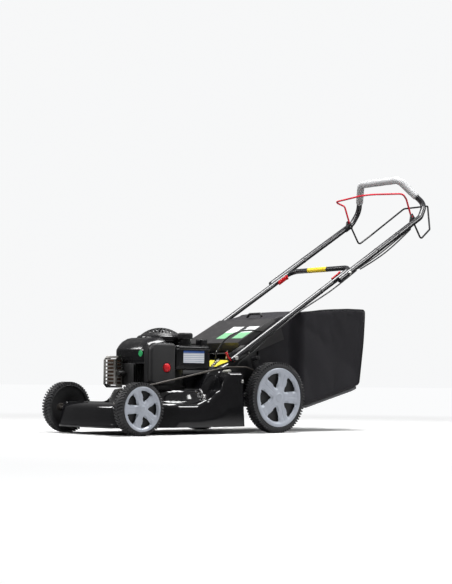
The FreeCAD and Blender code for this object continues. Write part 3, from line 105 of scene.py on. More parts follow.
def softbox(name, at, toward, wide, tall, watts):
    """A rectangular lamp that faces a place on the mower."""
    lamp = bpy.data.lights.new(name, "AREA")
    lamp.shape = "RECTANGLE"
    lamp.size, lamp.size_y, lamp.energy = wide, tall, watts
    holder = bpy.data.objects.new(name, lamp)
    holder.location = at
    holder.rotation_euler = (Vector(toward) - Vector(at)).to_track_quat("-Z", "Y").to_euler()
    scene.collection.objects.link(holder)


softbox("overhead_softbox", (0.4, 0.1, 3.0), (0, 0, 0.3), 1.5, 1.5, 150)
softbox("left_softbox", (3.0, 2.4, 2.6), (0, 0.2, 0.4), 0.7, 1.6, 60)
softbox("front_softbox", (-0.8, -3.8, 2.4), (0, 0, 0.4), 1.6, 0.7, 60)
softbox("right_softbox", (-2.6, -2.6, 2.6), (0, 0, 0.5), 0.8, 1.0, 45)

room = bpy.data.worlds.new("studio_room")
room.use_nodes = True
scene.world = room
nodes, links = room.node_tree.nodes, room.node_tree.links
nodes.clear()
sky_out = nodes.new("ShaderNodeOutputWorld")
seen = fitted(nodes, "ShaderNodeBackground", {"Color": (0.93, 0.935, 0.94, 1)})
cast = nodes.new("ShaderNodeBackground")
way = nodes.new("ShaderNodeTexCoord")
parts = nodes.new("ShaderNodeSeparateXYZ")
rise = fitted(nodes, "ShaderNodeMapRange",
              {"From Min": -0.1, "From Max": 0.9, "To Min": 0.12, "To Max": 0.42})
plugged(links, (way, "Generated", parts, "Vector"), (parts, "Z", rise, "Value"),
        (rise, "Result", cast, "Strength"))
path = nodes.new("ShaderNodeLightPath")
either = nodes.new("ShaderNodeMixShader")
plugged(links, (path, "Is Camera Ray", either, "Fac"), (cast, "Background", either, 1),
        (seen, "Background", either, 2), (either, "Shader", sky_out, "Surface"))

paper = bmesh.new()
bmesh.ops.create_circle(paper, cap_ends=True, segments=96, radius=PAPER_RADIUS)
paper_mesh = bpy.data.meshes.new("paper_floor")
paper.to_mesh(paper_mesh)
paper.free()
floor = bpy.data.objects.new("paper_floor", paper_mesh)
scene.collection.objects.link(floor)
paper_white = bpy.data.materials.new("paper_white")
paper_white.use_nodes = True
nodes, links = paper_white.node_tree.nodes, paper_white.node_tree.links
shade = nodes["Principled BSDF"]
shade.inputs["Roughness"].default_value = 0.5
shade.inputs["Specular IOR Level"].default_value = 0.2
shade.inputs["Emission Color"].default_value = (0.93, 0.935, 0.94, 1)
looked_at = nodes.new("ShaderNodeLightPath")
place = nodes.new("ShaderNodeTexCoord")
reach = fitted(nodes, "ShaderNodeVectorMath", operation="LENGTH")
fade = fitted(nodes, "ShaderNodeMapRange", {"From Min": 1.2, "From Max": 3.2})
tone = fitted(nodes, "ShaderNodeMix", {"A": (0.45, 0.45, 0.45, 1), "B": (0.8, 0.8, 0.8, 1)}, data_type="RGBA")
dim = fitted(nodes, "ShaderNodeMix", {"B": (0, 0, 0, 1)}, data_type="RGBA")
glow = fitted(nodes, "ShaderNodeMath", operation="MULTIPLY")
plugged(links, (looked_at, "Is Camera Ray", tone, "Factor"), (tone, "Result", dim, "A"),
        (place, "Object", reach, 0), (reach, "Value", fade, "Value"), (fade, "Result", dim, "Factor"),
        (dim, "Result", shade, "Base Color"), (fade, "Result", glow, 0),
        (looked_at, "Is Camera Ray", glow, 1), (glow, "Value", shade, "Emission Strength"))
paper_mesh.materials.append(paper_white)


# ---- Deck: pressed steel in gloss black enamel
# One sheet, drawn in a press: a skirt round the blade, a dome for the engine, and a ramp
# that sweeps up at the back into the tunnel to the grass bag. It is dipped and baked.
def group_sockets(name, inputs, outputs):
    """An empty shader group with named number inputs and named outputs."""
    tree = bpy.data.node_groups.new(name, "ShaderNodeTree")
    for socket, value in inputs.items():
        made = tree.interface.new_socket(name=socket, in_out="INPUT", socket_type="NodeSocketFloat")
        made.default_value = value
    for socket in outputs:
        tree.interface.new_socket(name=socket, in_out="OUTPUT", socket_type="NodeSocketFloat")
    return tree, tree.nodes.new("NodeGroupInput"), tree.nodes.new("NodeGroupOutput")


grain_tree, grain_in, grain_out = group_sockets("surface_grain", {"Scale": 900.0, "Patch Scale": 9.0},
                                                ["Height", "Patches"])
coords = grain_tree.nodes.new("ShaderNodeTexCoord")
fine = fitted(grain_tree.nodes, "ShaderNodeTexNoise", {"Detail": 4.0})
patch = fitted(grain_tree.nodes, "ShaderNodeTexNoise", {"Detail": 3.0})
plugged(grain_tree.links, (coords, "Object", fine, "Vector"), (coords, "Object", patch, "Vector"),
        (grain_in, "Scale", fine, "Scale"), (grain_in, "Patch Scale", patch, "Scale"),
        (fine, "Fac", grain_out, "Height"), (patch, "Fac", grain_out, "Patches"))

dust_tree, dust_in, dust_out = group_sockets("settled_dust", {"Scale": 60.0}, ["Mask"])
coords = dust_tree.nodes.new("ShaderNodeTexCoord")
specks = fitted(dust_tree.nodes, "ShaderNodeTexNoise", {"Detail": 8.0})
facing = dust_tree.nodes.new("ShaderNodeNewGeometry")
split = dust_tree.nodes.new("ShaderNodeSeparateXYZ")
upward = fitted(dust_tree.nodes, "ShaderNodeMapRange", {"From Min": 0.3})
sparse = fitted(dust_tree.nodes, "ShaderNodeMapRange", {"From Min": 0.52, "From Max": 0.8})
both = fitted(dust_tree.nodes, "ShaderNodeMath", operation="MULTIPLY")
plugged(dust_tree.links, (coords, "Object", specks, "Vector"), (dust_in, "Scale", specks, "Scale"),
        (facing, "Normal", split, "Vector"), (split, "Z", upward, "Value"),
        (specks, "Fac", sparse, "Value"), (upward, "Result", both, 0), (sparse, "Result", both, 1),
        (both, "Value", dust_out, "Mask"))

wear_tree, wear_in, wear_out = group_sockets("edge_wear", {"Reach": 0.0015, "Scale": 140.0}, ["Mask"])
coords = wear_tree.nodes.new("ShaderNodeTexCoord")
rounded = fitted(wear_tree.nodes, "ShaderNodeBevel", samples=4)
true_face = wear_tree.nodes.new("ShaderNodeNewGeometry")
match = fitted(wear_tree.nodes, "ShaderNodeVectorMath", operation="DOT_PRODUCT")
edge = fitted(wear_tree.nodes, "ShaderNodeMapRange", {"From Min": 0.995, "From Max": 0.9})
chips = fitted(wear_tree.nodes, "ShaderNodeTexNoise", {"Detail": 5.0})
broken = fitted(wear_tree.nodes, "ShaderNodeMapRange", {"From Min": 0.45, "From Max": 0.62})
both = fitted(wear_tree.nodes, "ShaderNodeMath", operation="MULTIPLY")
plugged(wear_tree.links, (wear_in, "Reach", rounded, "Radius"), (rounded, "Normal", match, 0),
        (true_face, "Normal", match, 1), (match, "Value", edge, "Value"),
        (coords, "Object", chips, "Vector"), (wear_in, "Scale", chips, "Scale"),
        (chips, "Fac", broken, "Value"), (edge, "Result", both, 0), (broken, "Result", both, 1),
        (both, "Value", wear_out, "Mask"))


def finish(name, colour, roughness, metallic=0.0, grain=900.0, depth=0.02, spread=0.06, dust=0.08,
           wear=0.0, worn=(0.3, 0.3, 0.3), tint=0.12, specular=0.35):
    """A surface whose colour, gloss and relief vary: grain, uneven patches, dust on top, rubbed edges."""
    made = bpy.data.materials.new(name)
    made.use_nodes = True
    tree = made.node_tree
    shader = tree.nodes["Principled BSDF"]
    shader.inputs["Metallic"].default_value = metallic
    shader.inputs["Specular IOR Level"].default_value = specular
    surface = fitted(tree.nodes, "ShaderNodeGroup", {"Scale": grain}, node_tree=grain_tree)
    settled = fitted(tree.nodes, "ShaderNodeGroup", node_tree=dust_tree)
    shades = fitted(tree.nodes, "ShaderNodeMix",
                    {"A": [c * (1 - tint) for c in colour] + [1],
                     "B": [min(1.0, c * (1 + tint)) for c in colour] + [1]}, data_type="RGBA")
    tree.links.new(surface.outputs["Patches"], shades.inputs["Factor"])
    rubbed = fitted(tree.nodes, "ShaderNodeGroup", node_tree=wear_tree)
    strength = fitted(tree.nodes, "ShaderNodeMath", {1: wear}, operation="MULTIPLY")
    tree.links.new(rubbed.outputs["Mask"], strength.inputs[0])
    bare = fitted(tree.nodes, "ShaderNodeMix", {"B": list(worn) + [1]}, data_type="RGBA")
    plugged(tree.links, (shades, "Result", bare, "A"), (strength, "Value", bare, "Factor"))
    dusting = fitted(tree.nodes, "ShaderNodeMath", {1: dust}, operation="MULTIPLY")
    tree.links.new(settled.outputs["Mask"], dusting.inputs[0])
    dusted = fitted(tree.nodes, "ShaderNodeMix", {"B": (0.42, 0.4, 0.37, 1)}, data_type="RGBA")
    plugged(tree.links, (bare, "Result", dusted, "A"), (dusting, "Value", dusted, "Factor"),
            (dusted, "Result", shader, "Base Color"))
    gloss = fitted(tree.nodes, "ShaderNodeMapRange",
                   {"From Min": 0.3, "From Max": 0.7, "To Min": max(0.02, roughness - spread),
                    "To Max": min(1.0, roughness + spread)})
    plugged(tree.links, (surface, "Patches", gloss, "Value"), (gloss, "Result", shader, "Roughness"))
    relief = fitted(tree.nodes, "ShaderNodeBump", {"Strength": depth, "Distance": 0.001})
    plugged(tree.links, (surface, "Height", relief, "Height"), (relief, "Normal", shader, "Normal"))
    return made


def placed(name, mesh, material, body, smooth=40.0):
    """A finished piece: smooth-shaded where it should be, riding on its body."""
    piece = bpy.data.objects.new(name, mesh)
    scene.collection.objects.link(piece)
    mesh.materials.clear()
    mesh.materials.append(material)
    if smooth:
        mesh.shade_smooth()
        mesh.set_sharp_from_angle(angle=math.radians(smooth))
    if body:
        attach(piece, body)
    return piece


def from_grid(name, rows, close_across=False, close_along=False):
    """A quad mesh over a grid of places, joined up round one or both ways."""
    mesh = bpy.data.meshes.new(name)
    count, wide = len(rows), len(rows[0])
    faces = []
    for i in range(count if close_along else count - 1):
        for j in range(wide if close_across else wide - 1):
            k, m = (i + 1) % count, (j + 1) % wide
            faces.append((i * wide + j, i * wide + m, k * wide + m, k * wide + j))
    mesh.from_pydata([tuple(p) for row in rows for p in row], [], faces)
    mesh.validate()
    return mesh


def welded(mesh, reach=1e-5, outward=True):
    """Merges doubled corners and turns faces outward."""
    work = bmesh.new()
    work.from_mesh(mesh)
    bmesh.ops.remove_doubles(work, verts=work.verts, dist=reach)
    bmesh.ops.dissolve_degenerate(work, edges=work.edges, dist=reach)
    if outward:
        bmesh.ops.recalc_face_normals(work, faces=work.faces)
    work.to_mesh(mesh)
    work.free()
    return mesh


def applied(piece):
    """Turns a piece's modifiers into plain mesh."""
    graph = bpy.context.evaluated_depsgraph_get()
    solid = bpy.data.meshes.new_from_object(piece.evaluated_get(graph))
    piece.modifiers.clear()
    piece.data = solid
    return piece


def smooth_step(low, high, value):
    t = min(1.0, max(0.0, (value - low) / (high - low)))
    return t * t * (3 - 2 * t)


def along_table(table, value):
    """Reads a smooth curve through (place, height) pairs."""
    for (a, first), (b, second) in zip(table, table[1:]):
        if value <= b:
            return first + (second - first) * smooth_step(a, b, value)
    return table[-1][1]


def soft_max(a, b, blend):
    """The higher of two heights, with a fillet where they cross."""
    gap = max(0.0, min(1.0, 0.5 + 0.5 * (a - b) / blend))
    return b + (a - b) * gap + blend * gap * (1 - gap)


deck_low, deck_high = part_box("deck")
HALF = deck_high[0] / MM - 0.4
NOSE = (deck_low[1] - AXLE_BACK) / MM
SKIRT_BACK, SKIRT_FOOT, SHOULDER, NECK_HALF = 528.0, deck_low[2] / MM, 118.0, 198.0
shaft_low, shaft_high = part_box("crankshaft")
SHAFT_BACK = ((shaft_low[1] + shaft_high[1]) / 2 - AXLE_BACK) / MM


def ramp(y):
    """Height of the side panels: level beside the engine, then swept up to the handle's feet."""
    return along_table([(285, 118), (345, 136), (405, 170), (436, 226), (452, 244), (900, 244)], y)


def deck_top(x, y):
    """Height of the pressing over a place in plan."""
    top = SHOULDER + 3.0 * math.cos(min(1.0, abs(x) / 200) * math.pi / 2)
    reach = math.hypot(x, y - SHAFT_BACK)
    dome = 172 - 58 * smooth_step(176, 216, reach)
    tunnel = along_table([(288, 110), (338, 164), (412, 244), (446, 264), (560, 296), (655, 313)], y)
    edge = smooth_step(176, 164, abs(x))
    tunnel = 100 + (tunnel - 100) * edge
    height = soft_max(top, dome, 10)
    height = soft_max(height, ramp(y), 8)
    ridge = 2.2 * smooth_step(30, 22, abs(abs(x) - 118)) * smooth_step(60, 20, y)
    return soft_max(height, tunnel, 8) + ridge


def skirt_outline(steps):
    """Plan of the skirt as (x, y) pairs with rounded corners, from the back left round the nose."""
    corners = [(HALF, SKIRT_BACK, 12), (HALF, 168, 30), (NECK_HALF, 104, 30), (NECK_HALF, NOSE + 3, 52)]
    corners += [(-x, y, r) for x, y, r in reversed(corners)]
    places = []
    for i, (x, y, radius) in enumerate(corners):
        here = Vector((x, y))
        before = (Vector(corners[i - 1][:2]) - here).normalized()
        after = (Vector(corners[(i + 1) % len(corners)][:2]) - here).normalized()
        for step in range(9):
            t = step / 8
            start, end = here + before * radius, here + after * radius
            places.append((start.lerp(here, t)).lerp(here.lerp(end, t), t))
    loop = []
    total = sum((places[i] - places[i - 1]).length for i in range(len(places)))
    pitch = total / steps
    carried = 0.0
    for i in range(len(places)):
        start, end = places[i - 1], places[i]
        run = (end - start).length
        while carried < run:
            loop.append(start.lerp(end, carried / run))
            carried += pitch
        carried -= run
    return loop[:steps]


NOSE_PROFILE = [(-4, 27), (-5, 33), (-4, 38), (-1, 43), (1, 52), (3, 62), (5, 73), (7, 84), (9, 94),
                (11, 102),
                (14, 108), (19, 113), (26, 117), (36, 119), (48, 120), (62, 120)]
outline = skirt_outline(420)
middle = Vector((0, 250))
rings = []
for share in range(47):
    ring = []
    for place in outline:
        bow = 7.0 * smooth_step(190, 60, abs(place.x)) * (place.y < 0)
        edge_y = place.y - bow
        nose_share = smooth_step(-40, -72, place.y) * smooth_step(199, 178, abs(place.x))
        wall_top = max(SHOULDER, ramp(edge_y))
        if share <= 8:
            t = share / 8
            flare = 4.0 * (1 - t) ** 3
            z = SKIRT_FOOT + (wall_top - 16 - SKIRT_FOOT) * t
            push = (place - middle).normalized() * (flare - 2.5 * t)
            spot_now = Vector((min(HALF, max(-HALF, place.x + push.x)), edge_y + push.y, z))
        elif share <= 15:
            turn = (share - 8) / 7 * math.pi / 2
            inward = (middle - place).normalized()
            x = place.x + inward.x * (2.5 + 16 * (1 - math.cos(turn)))
            y = edge_y + inward.y * (2.5 + 16 * (1 - math.cos(turn)))
            blend = (share - 8) / 7
            z = wall_top - 16 + 16 * math.sin(turn)
            z += (deck_top(x, y) - z) * smooth_step(0.45, 1.0, blend)
            spot_now = Vector((x, y, z))
        else:
            t = (share - 15) / 31
            inward = (middle - place).normalized()
            x = place.x + inward.x * (18.5)
            y = edge_y + inward.y * (18.5)
            x, y = x + (middle.x - x) * t, y + (middle.y - y) * t
            z = deck_top(x, y)
            spot_now = Vector((x, y, z))
        lean, height = NOSE_PROFILE[min(share, 15)]
        if share > 15:
            t = (share - 15) / 31
            lean_y = edge_y + 62 + (middle.y - edge_y - 62) * t
            nose_spot = Vector((place.x * (1 - t), lean_y, deck_top(place.x * (1 - t), lean_y)))
        else:
            nose_spot = Vector((place.x, edge_y + lean, height))
        ring.append(spot(*spot_now.lerp(nose_spot, nose_share)))
    rings.append(ring)
deck_mesh = welded(from_grid("deck_shell", rings, close_across=True))
mouth = bmesh.new()
mouth.from_mesh(deck_mesh)
inside = [face for face in mouth.faces if abs(face.calc_center_median().x) < 0.160
          and face.calc_center_median().y > AXLE_BACK + 0.500
          and 0.110 < face.calc_center_median().z < (deck_top(0, 505) - 14) * MM]
bmesh.ops.delete(mouth, geom=inside, context="FACES")
mouth.to_mesh(deck_mesh)
mouth.free()
thin = bpy.data.objects.new("deck_shell_work", deck_mesh)
scene.collection.objects.link(thin)
sheet = thin.modifiers.new("sheet", "SOLIDIFY")
sheet.thickness = 0.002
sheet.offset = -1
applied(thin)
gloss_black = finish("gloss_black_enamel", (0.006, 0.006, 0.007), 0.07, grain=140, depth=0.03, spread=0.025,
                     dust=0.05, wear=0.15, tint=0.2, specular=0.55)
deck_piece = placed("deck_shell", thin.data, gloss_black, "root", smooth=60)
bpy.data.objects.remove(thin)

# The tunnel to the bag: a folded hood that carries on from the ramp, between the side plates.
TUNNEL_HALF, MOUTH_BACK = 172.0, deck_high[1] / MM - AXLE_BACK / MM
hood_rows = []
for step in range(13):
    y = 470 + (MOUTH_BACK - 470) * step / 12
    crown = deck_top(0, y) + 0.5
    row = [spot(-TUNNEL_HALF, y, 150 + 40 * step / 12)]
    row += [spot(-TUNNEL_HALF, y, z) for z in (190, 220, crown - 22)]
    for turn in range(7):
        angle = turn / 6 * math.pi / 2
        row.append(spot(-TUNNEL_HALF + 16 * (1 - math.cos(angle)), y, crown - 16 + 16 * math.sin(angle)))
    row += [spot(-x, y, crown) for x in (100, 50, 0)]
    row += [Vector((-p.x, p.y, p.z)) for p in reversed(row[:-1])]
    hood_rows.append(row)
hood = bpy.data.objects.new("hood_work", welded(from_grid("deck_tunnel", hood_rows)))
scene.collection.objects.link(hood)
sheet = hood.modifiers.new("sheet", "SOLIDIFY")
sheet.thickness = 0.002
sheet.offset = -1
applied(hood)
tunnel_piece = placed("deck_tunnel", hood.data, gloss_black, "root")
bpy.data.objects.remove(hood)
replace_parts(deck_piece, "deck")
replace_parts(tunnel_piece, "deck")


# ---- Side plates, axles, height lever and link bar
# Folded steel, powder coated, bolted to the tunnel's sides. They hold the handle's feet, the
# flap rod and the axles, and the long link bar makes both axles rise together.
def kept(node, material):
    """A CAD piece whose shape is right, given its real finish."""
    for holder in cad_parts[node].material_slots:
        holder.material = material


def softened(node, material, body, radius=0.0012, segments=2, angle=28, smooth=35, name=None):
    """A copy of a CAD piece with its edges rounded off, as moulding, casting or pressing leaves them."""
    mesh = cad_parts[node].data.copy()
    work = bmesh.new()
    work.from_mesh(mesh)
    bmesh.ops.remove_doubles(work, verts=work.verts, dist=2e-5)
    bmesh.ops.dissolve_limit(work, angle_limit=math.radians(1.5), verts=work.verts, edges=work.edges)
    work.to_mesh(mesh)
    work.free()
    holder = bpy.data.objects.new("softening", mesh)
    scene.collection.objects.link(holder)
    ease = holder.modifiers.new("eased_edges", "BEVEL")
    ease.width = radius
    ease.segments = segments
    ease.limit_method = "ANGLE"
    ease.angle_limit = math.radians(angle)
    ease.use_clamp_overlap = True
    applied(holder)
    piece = placed(name or node + "_finished", holder.data, material, body, smooth)
    bpy.data.objects.remove(holder)
    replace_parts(piece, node)
    return piece


powder_black = finish("black_powder_coat", (0.012, 0.012, 0.013), 0.3, grain=700, depth=0.12, dust=0.1,
                      wear=0.35)
zinc = finish("bright_zinc", (0.62, 0.62, 0.6), 0.3, metallic=1.0, grain=400, depth=0.05, spread=0.12,
              dust=0.05)
dark_zinc = finish("dulled_zinc", (0.34, 0.33, 0.32), 0.36, metallic=1.0, grain=400, depth=0.06, spread=0.12)
oiled_steel = finish("oiled_steel", (0.05, 0.045, 0.04), 0.35, metallic=0.6, grain=400, depth=0.06,
                     spread=0.12)
bare_steel = finish("machined_steel", (0.5, 0.5, 0.5), 0.28, metallic=1.0, grain=500, depth=0.04, spread=0.1)
cast_alloy = finish("cast_alloy", (0.5, 0.5, 0.5), 0.5, metallic=0.9, grain=260, depth=0.35, spread=0.12,
                    dust=0.15)
softened("side_plates", powder_black, "root", 0.0008)
softened("gearbox", cast_alloy, "root", 0.002)
softened("rear_axle", dark_zinc, "rear_crank", 0.0006)
softened("front_axle", oiled_steel, "front_crank", 0.0006)
softened("link_bar", oiled_steel, "link_bar", 0.0006)
softened("height_lever", powder_black, "rear_crank", 0.0015)
kept("drive_shaft", bare_steel)
for side in ("left", "right"):
    kept("pinion_" + side, bare_steel)
kept("gearbox_pulley", bare_steel)
rubber = finish("belt_rubber", (0.02, 0.02, 0.02), 0.7, grain=500, depth=0.2)
kept("drive_belt", rubber)


# ---- Wheels: rubber tyres with moulded lugs, dark rims and silver hubcaps
# Solid tyres on plastic rims; the front pair is small and the rear pair large. The hubcaps
# are dished covers with five rounded windows, snapped into the rims' outer edges.
def lug_tree():
    """Blocks of tread set round a tyre in two staggered rows."""
    tree = bpy.data.node_groups.new("tread_lugs", "GeometryNodeTree")
    for name, kind, value in (("Lug Count", "NodeSocketInt", 60), ("Tread Radius", "NodeSocketFloat", 0.1),
                              ("Lug Width", "NodeSocketFloat", 0.018),
                              ("Lug Length", "NodeSocketFloat", 0.005),
                              ("Lug Height", "NodeSocketFloat", 0.008),
                              ("Row Offset", "NodeSocketFloat", 0.011),
                              ("Lug Slant", "NodeSocketFloat", 0.25)):
        tree.interface.new_socket(name=name, in_out="INPUT", socket_type=kind).default_value = value
    tree.interface.new_socket(name="Rubber", in_out="INPUT", socket_type="NodeSocketMaterial")
    tree.interface.new_socket(name="Geometry", in_out="OUTPUT", socket_type="NodeSocketGeometry")
    given = tree.nodes.new("NodeGroupInput")
    done = tree.nodes.new("NodeGroupOutput")
    join = tree.nodes.new("GeometryNodeJoinGeometry")

    def maths(kind, a, b):
        node = fitted(tree.nodes, "ShaderNodeMath", operation=kind)
        for socket, value in zip(node.inputs, (a, b)):
            if isinstance(value, (int, float)):
                socket.default_value = value
            elif value is not None:
                tree.links.new(value, socket)
        return node.outputs[0]

    size = tree.nodes.new("ShaderNodeCombineXYZ")
    plugged(tree.links, (given, "Lug Width", size, "X"), (given, "Lug Length", size, "Y"),
            (given, "Lug Height", size, "Z"))
    block = tree.nodes.new("GeometryNodeMeshCube")
    tree.links.new(size.outputs[0], block.inputs["Size"])
    for row, side in enumerate((-1.0, 1.0)):
        count = tree.nodes.new("GeometryNodePoints")
        tree.links.new(given.outputs["Lug Count"], count.inputs["Count"])
        index = tree.nodes.new("GeometryNodeInputIndex")
        share = maths("DIVIDE", maths("ADD", index.outputs[0], 0.5 * row), given.outputs["Lug Count"])
        angle = maths("MULTIPLY", share, 2 * math.pi)
        place = tree.nodes.new("ShaderNodeCombineXYZ")
        tree.links.new(maths("MULTIPLY", given.outputs["Row Offset"], side), place.inputs["X"])
        tree.links.new(maths("MULTIPLY", maths("COSINE", angle, None), given.outputs["Tread Radius"]),
                       place.inputs["Y"])
        tree.links.new(maths("MULTIPLY", maths("SINE", angle, None), given.outputs["Tread Radius"]),
                       place.inputs["Z"])
        move = tree.nodes.new("GeometryNodeSetPosition")
        plugged(tree.links, (count, 0, move, "Geometry"), (place, 0, move, "Position"))
        turn = tree.nodes.new("ShaderNodeCombineXYZ")
        tree.links.new(maths("SUBTRACT", angle, math.pi / 2), turn.inputs["X"])
        slant = tree.nodes.new("ShaderNodeCombineXYZ")
        tree.links.new(maths("MULTIPLY", given.outputs["Lug Slant"], side), slant.inputs["Z"])
        lean = tree.nodes.new("FunctionNodeRotateRotation")
        lean.rotation_space = "LOCAL"
        face = tree.nodes.new("FunctionNodeEulerToRotation")
        tip = tree.nodes.new("FunctionNodeEulerToRotation")
        plugged(tree.links, (turn, 0, face, 0), (slant, 0, tip, 0), (face, 0, lean, 0),
                (tip, 0, lean, 1))
        stamp = tree.nodes.new("GeometryNodeInstanceOnPoints")
        plugged(tree.links, (move, 0, stamp, "Points"), (block, "Mesh", stamp, "Instance"),
                (lean, 0, stamp, "Rotation"), (stamp, 0, join, 0))
    real = tree.nodes.new("GeometryNodeRealizeInstances")
    paint = tree.nodes.new("GeometryNodeSetMaterial")
    plugged(tree.links, (join, 0, real, 0), (real, 0, paint, "Geometry"),
            (given, "Rubber", paint, "Material"), (paint, 0, done, 0))
    return tree


def grown(name, tree, values):
    """Runs a Geometry Nodes tree with its named inputs set, and returns the plain mesh."""
    holder = bpy.data.objects.new(name, bpy.data.meshes.new(name))
    scene.collection.objects.link(holder)
    growth = holder.modifiers.new("growth", "NODES")
    growth.node_group = tree
    for item in tree.interface.items_tree:
        if item.in_out == "INPUT" and item.name in values:
            growth[item.identifier] = values[item.name]
    applied(holder)
    mesh = holder.data
    bpy.data.objects.remove(holder)
    return mesh


def joined(name, meshes):
    """Several meshes as one."""
    work = bmesh.new()
    for mesh in meshes:
        work.from_mesh(mesh)
    both = bpy.data.meshes.new(name)
    work.to_mesh(both)
    work.free()
    return both


def turned(name, profile, steps, centre, close=True):
    """A profile of (across, radius) pairs turned about a wheel's axle."""
    rows = []
    for step in range(steps):
        angle = 2 * math.pi * step / steps
        rows.append([centre + Vector((x, r * math.cos(angle), r * math.sin(angle))) for x, r in profile])
    return welded(from_grid(name, rows, close_across=close, close_along=True), 1e-6)


def window_edge(radius, twist):
    """One window of a hubcap: a triangle with rounded corners, narrow end to the hub."""
    half_angle = math.radians(21)
    tip, wide = 0.34 * radius, 0.83 * radius
    corners = [(tip, -0.07), (wide * 0.99, -half_angle), (wide * 1.01, 0), (wide * 0.99, half_angle),
               (tip, 0.07)]
    flat = [Vector((r * math.cos(a), r * math.sin(a))) for r, a in corners]
    bends = [0.25, 0.22, 0.5, 0.22, 0.25]
    places = []
    for i, here in enumerate(flat):
        start = here.lerp(flat[i - 1], bends[i] * 0.9)
        end = here.lerp(flat[(i + 1) % len(flat)], bends[i] * 0.9)
        for step in range(7):
            t = step / 6
            places.append(start.lerp(here, t).lerp(here.lerp(end, t), t))
    turn = Matrix.Rotation(twist, 2)
    return [turn @ p for p in places]


def from_edge(point, edge):
    """Distance from a place to a closed outline."""
    return min((point - edge[i]).length for i in range(len(edge)))


def hubcap_mesh(name, centre, sign, radius, face, twist):
    """A dish with five windows, a groove down each spoke and a raised boss."""
    windows = [window_edge(radius, twist + 2 * math.pi * k / 5) for k in range(5)]
    table = [(0, 1.0), (0.13, 1.0), (0.17, -0.6), (0.24, -1.2), (0.45, -3.2), (0.66, -4.2), (0.82, -2.6),
             (0.93, -0.3), (0.975, 0.0), (1.0, -1.8)]
    rings = [0, 0.05, 0.1, 0.13, 0.145, 0.16, 0.18, 0.21] + [0.24 + 0.021 * k for k in range(33)] + [0.945,
                                                                                                     0.965,
                                                                                                     0.985,
                                                                                                     1.0]
    steps = 200
    outer = []
    inner = []
    for share in rings:
        row, under = [], []
        for step in range(steps):
            angle = 2 * math.pi * step / steps
            flat = Vector((math.cos(angle), math.sin(angle))) * radius * share
            for (a, low), (b, high) in zip(table, table[1:]):
                if share <= b:
                    depth = low + (high - low) * smooth_step(a, b, share)
                    break
            spoke = (angle - twist - math.pi / 5) % (2 * math.pi / 5)
            off = min(spoke, 2 * math.pi / 5 - spoke) * share * radius
            groove = math.exp(-(off / 0.0016) ** 2) * smooth_step(0.24, 0.4, share) * smooth_step(0.9, 0.78,
                                                                                                  share)
            lip = 0.0
            if 0.26 < share < 0.9:
                near = min(from_edge(flat, w) for w in windows)
                lip = smooth_step(0.075 * radius, 0.004 * radius, near)
            x = face + (depth - 1.1 * groove - 4.6 * lip) * MM
            row.append(centre + Vector((sign * x, flat.x, flat.y)))
            under.append(centre + Vector((sign * (x - 0.0026 - 0.006 * (share == 1.0)), flat.x * 0.985,
                                          flat.y * 0.985)))
        outer.append(row)
        inner.append(under)
    mesh = welded(from_grid(name, outer + inner[::-1], close_across=True), 2e-6)
    holder = bpy.data.objects.new("cap_work", mesh)
    scene.collection.objects.link(holder)
    tool = bmesh.new()
    for edge in windows:
        ends = []
        for x in (face - 0.02, face + 0.01):
            ends.append([tool.verts.new(centre + Vector((sign * x, p.x, p.y))) for p in edge])
        for i in range(len(edge)):
            j = (i + 1) % len(edge)
            tool.faces.new((ends[0][i], ends[0][j], ends[1][j], ends[1][i]))
        tool.faces.new(ends[0])
        tool.faces.new(ends[1])
    bmesh.ops.recalc_face_normals(tool, faces=tool.faces)
    tool_mesh = bpy.data.meshes.new("window_tool")
    tool.to_mesh(tool_mesh)
    tool.free()
    cutter = bpy.data.objects.new("window_tool", tool_mesh)
    scene.collection.objects.link(cutter)
    cut = holder.modifiers.new("windows", "BOOLEAN")
    cut.operation = "DIFFERENCE"
    cut.solver = "EXACT"
    cut.object = cutter
    applied(holder)
    mesh = holder.data
    bpy.data.objects.remove(holder)
    bpy.data.objects.remove(cutter)
    return mesh


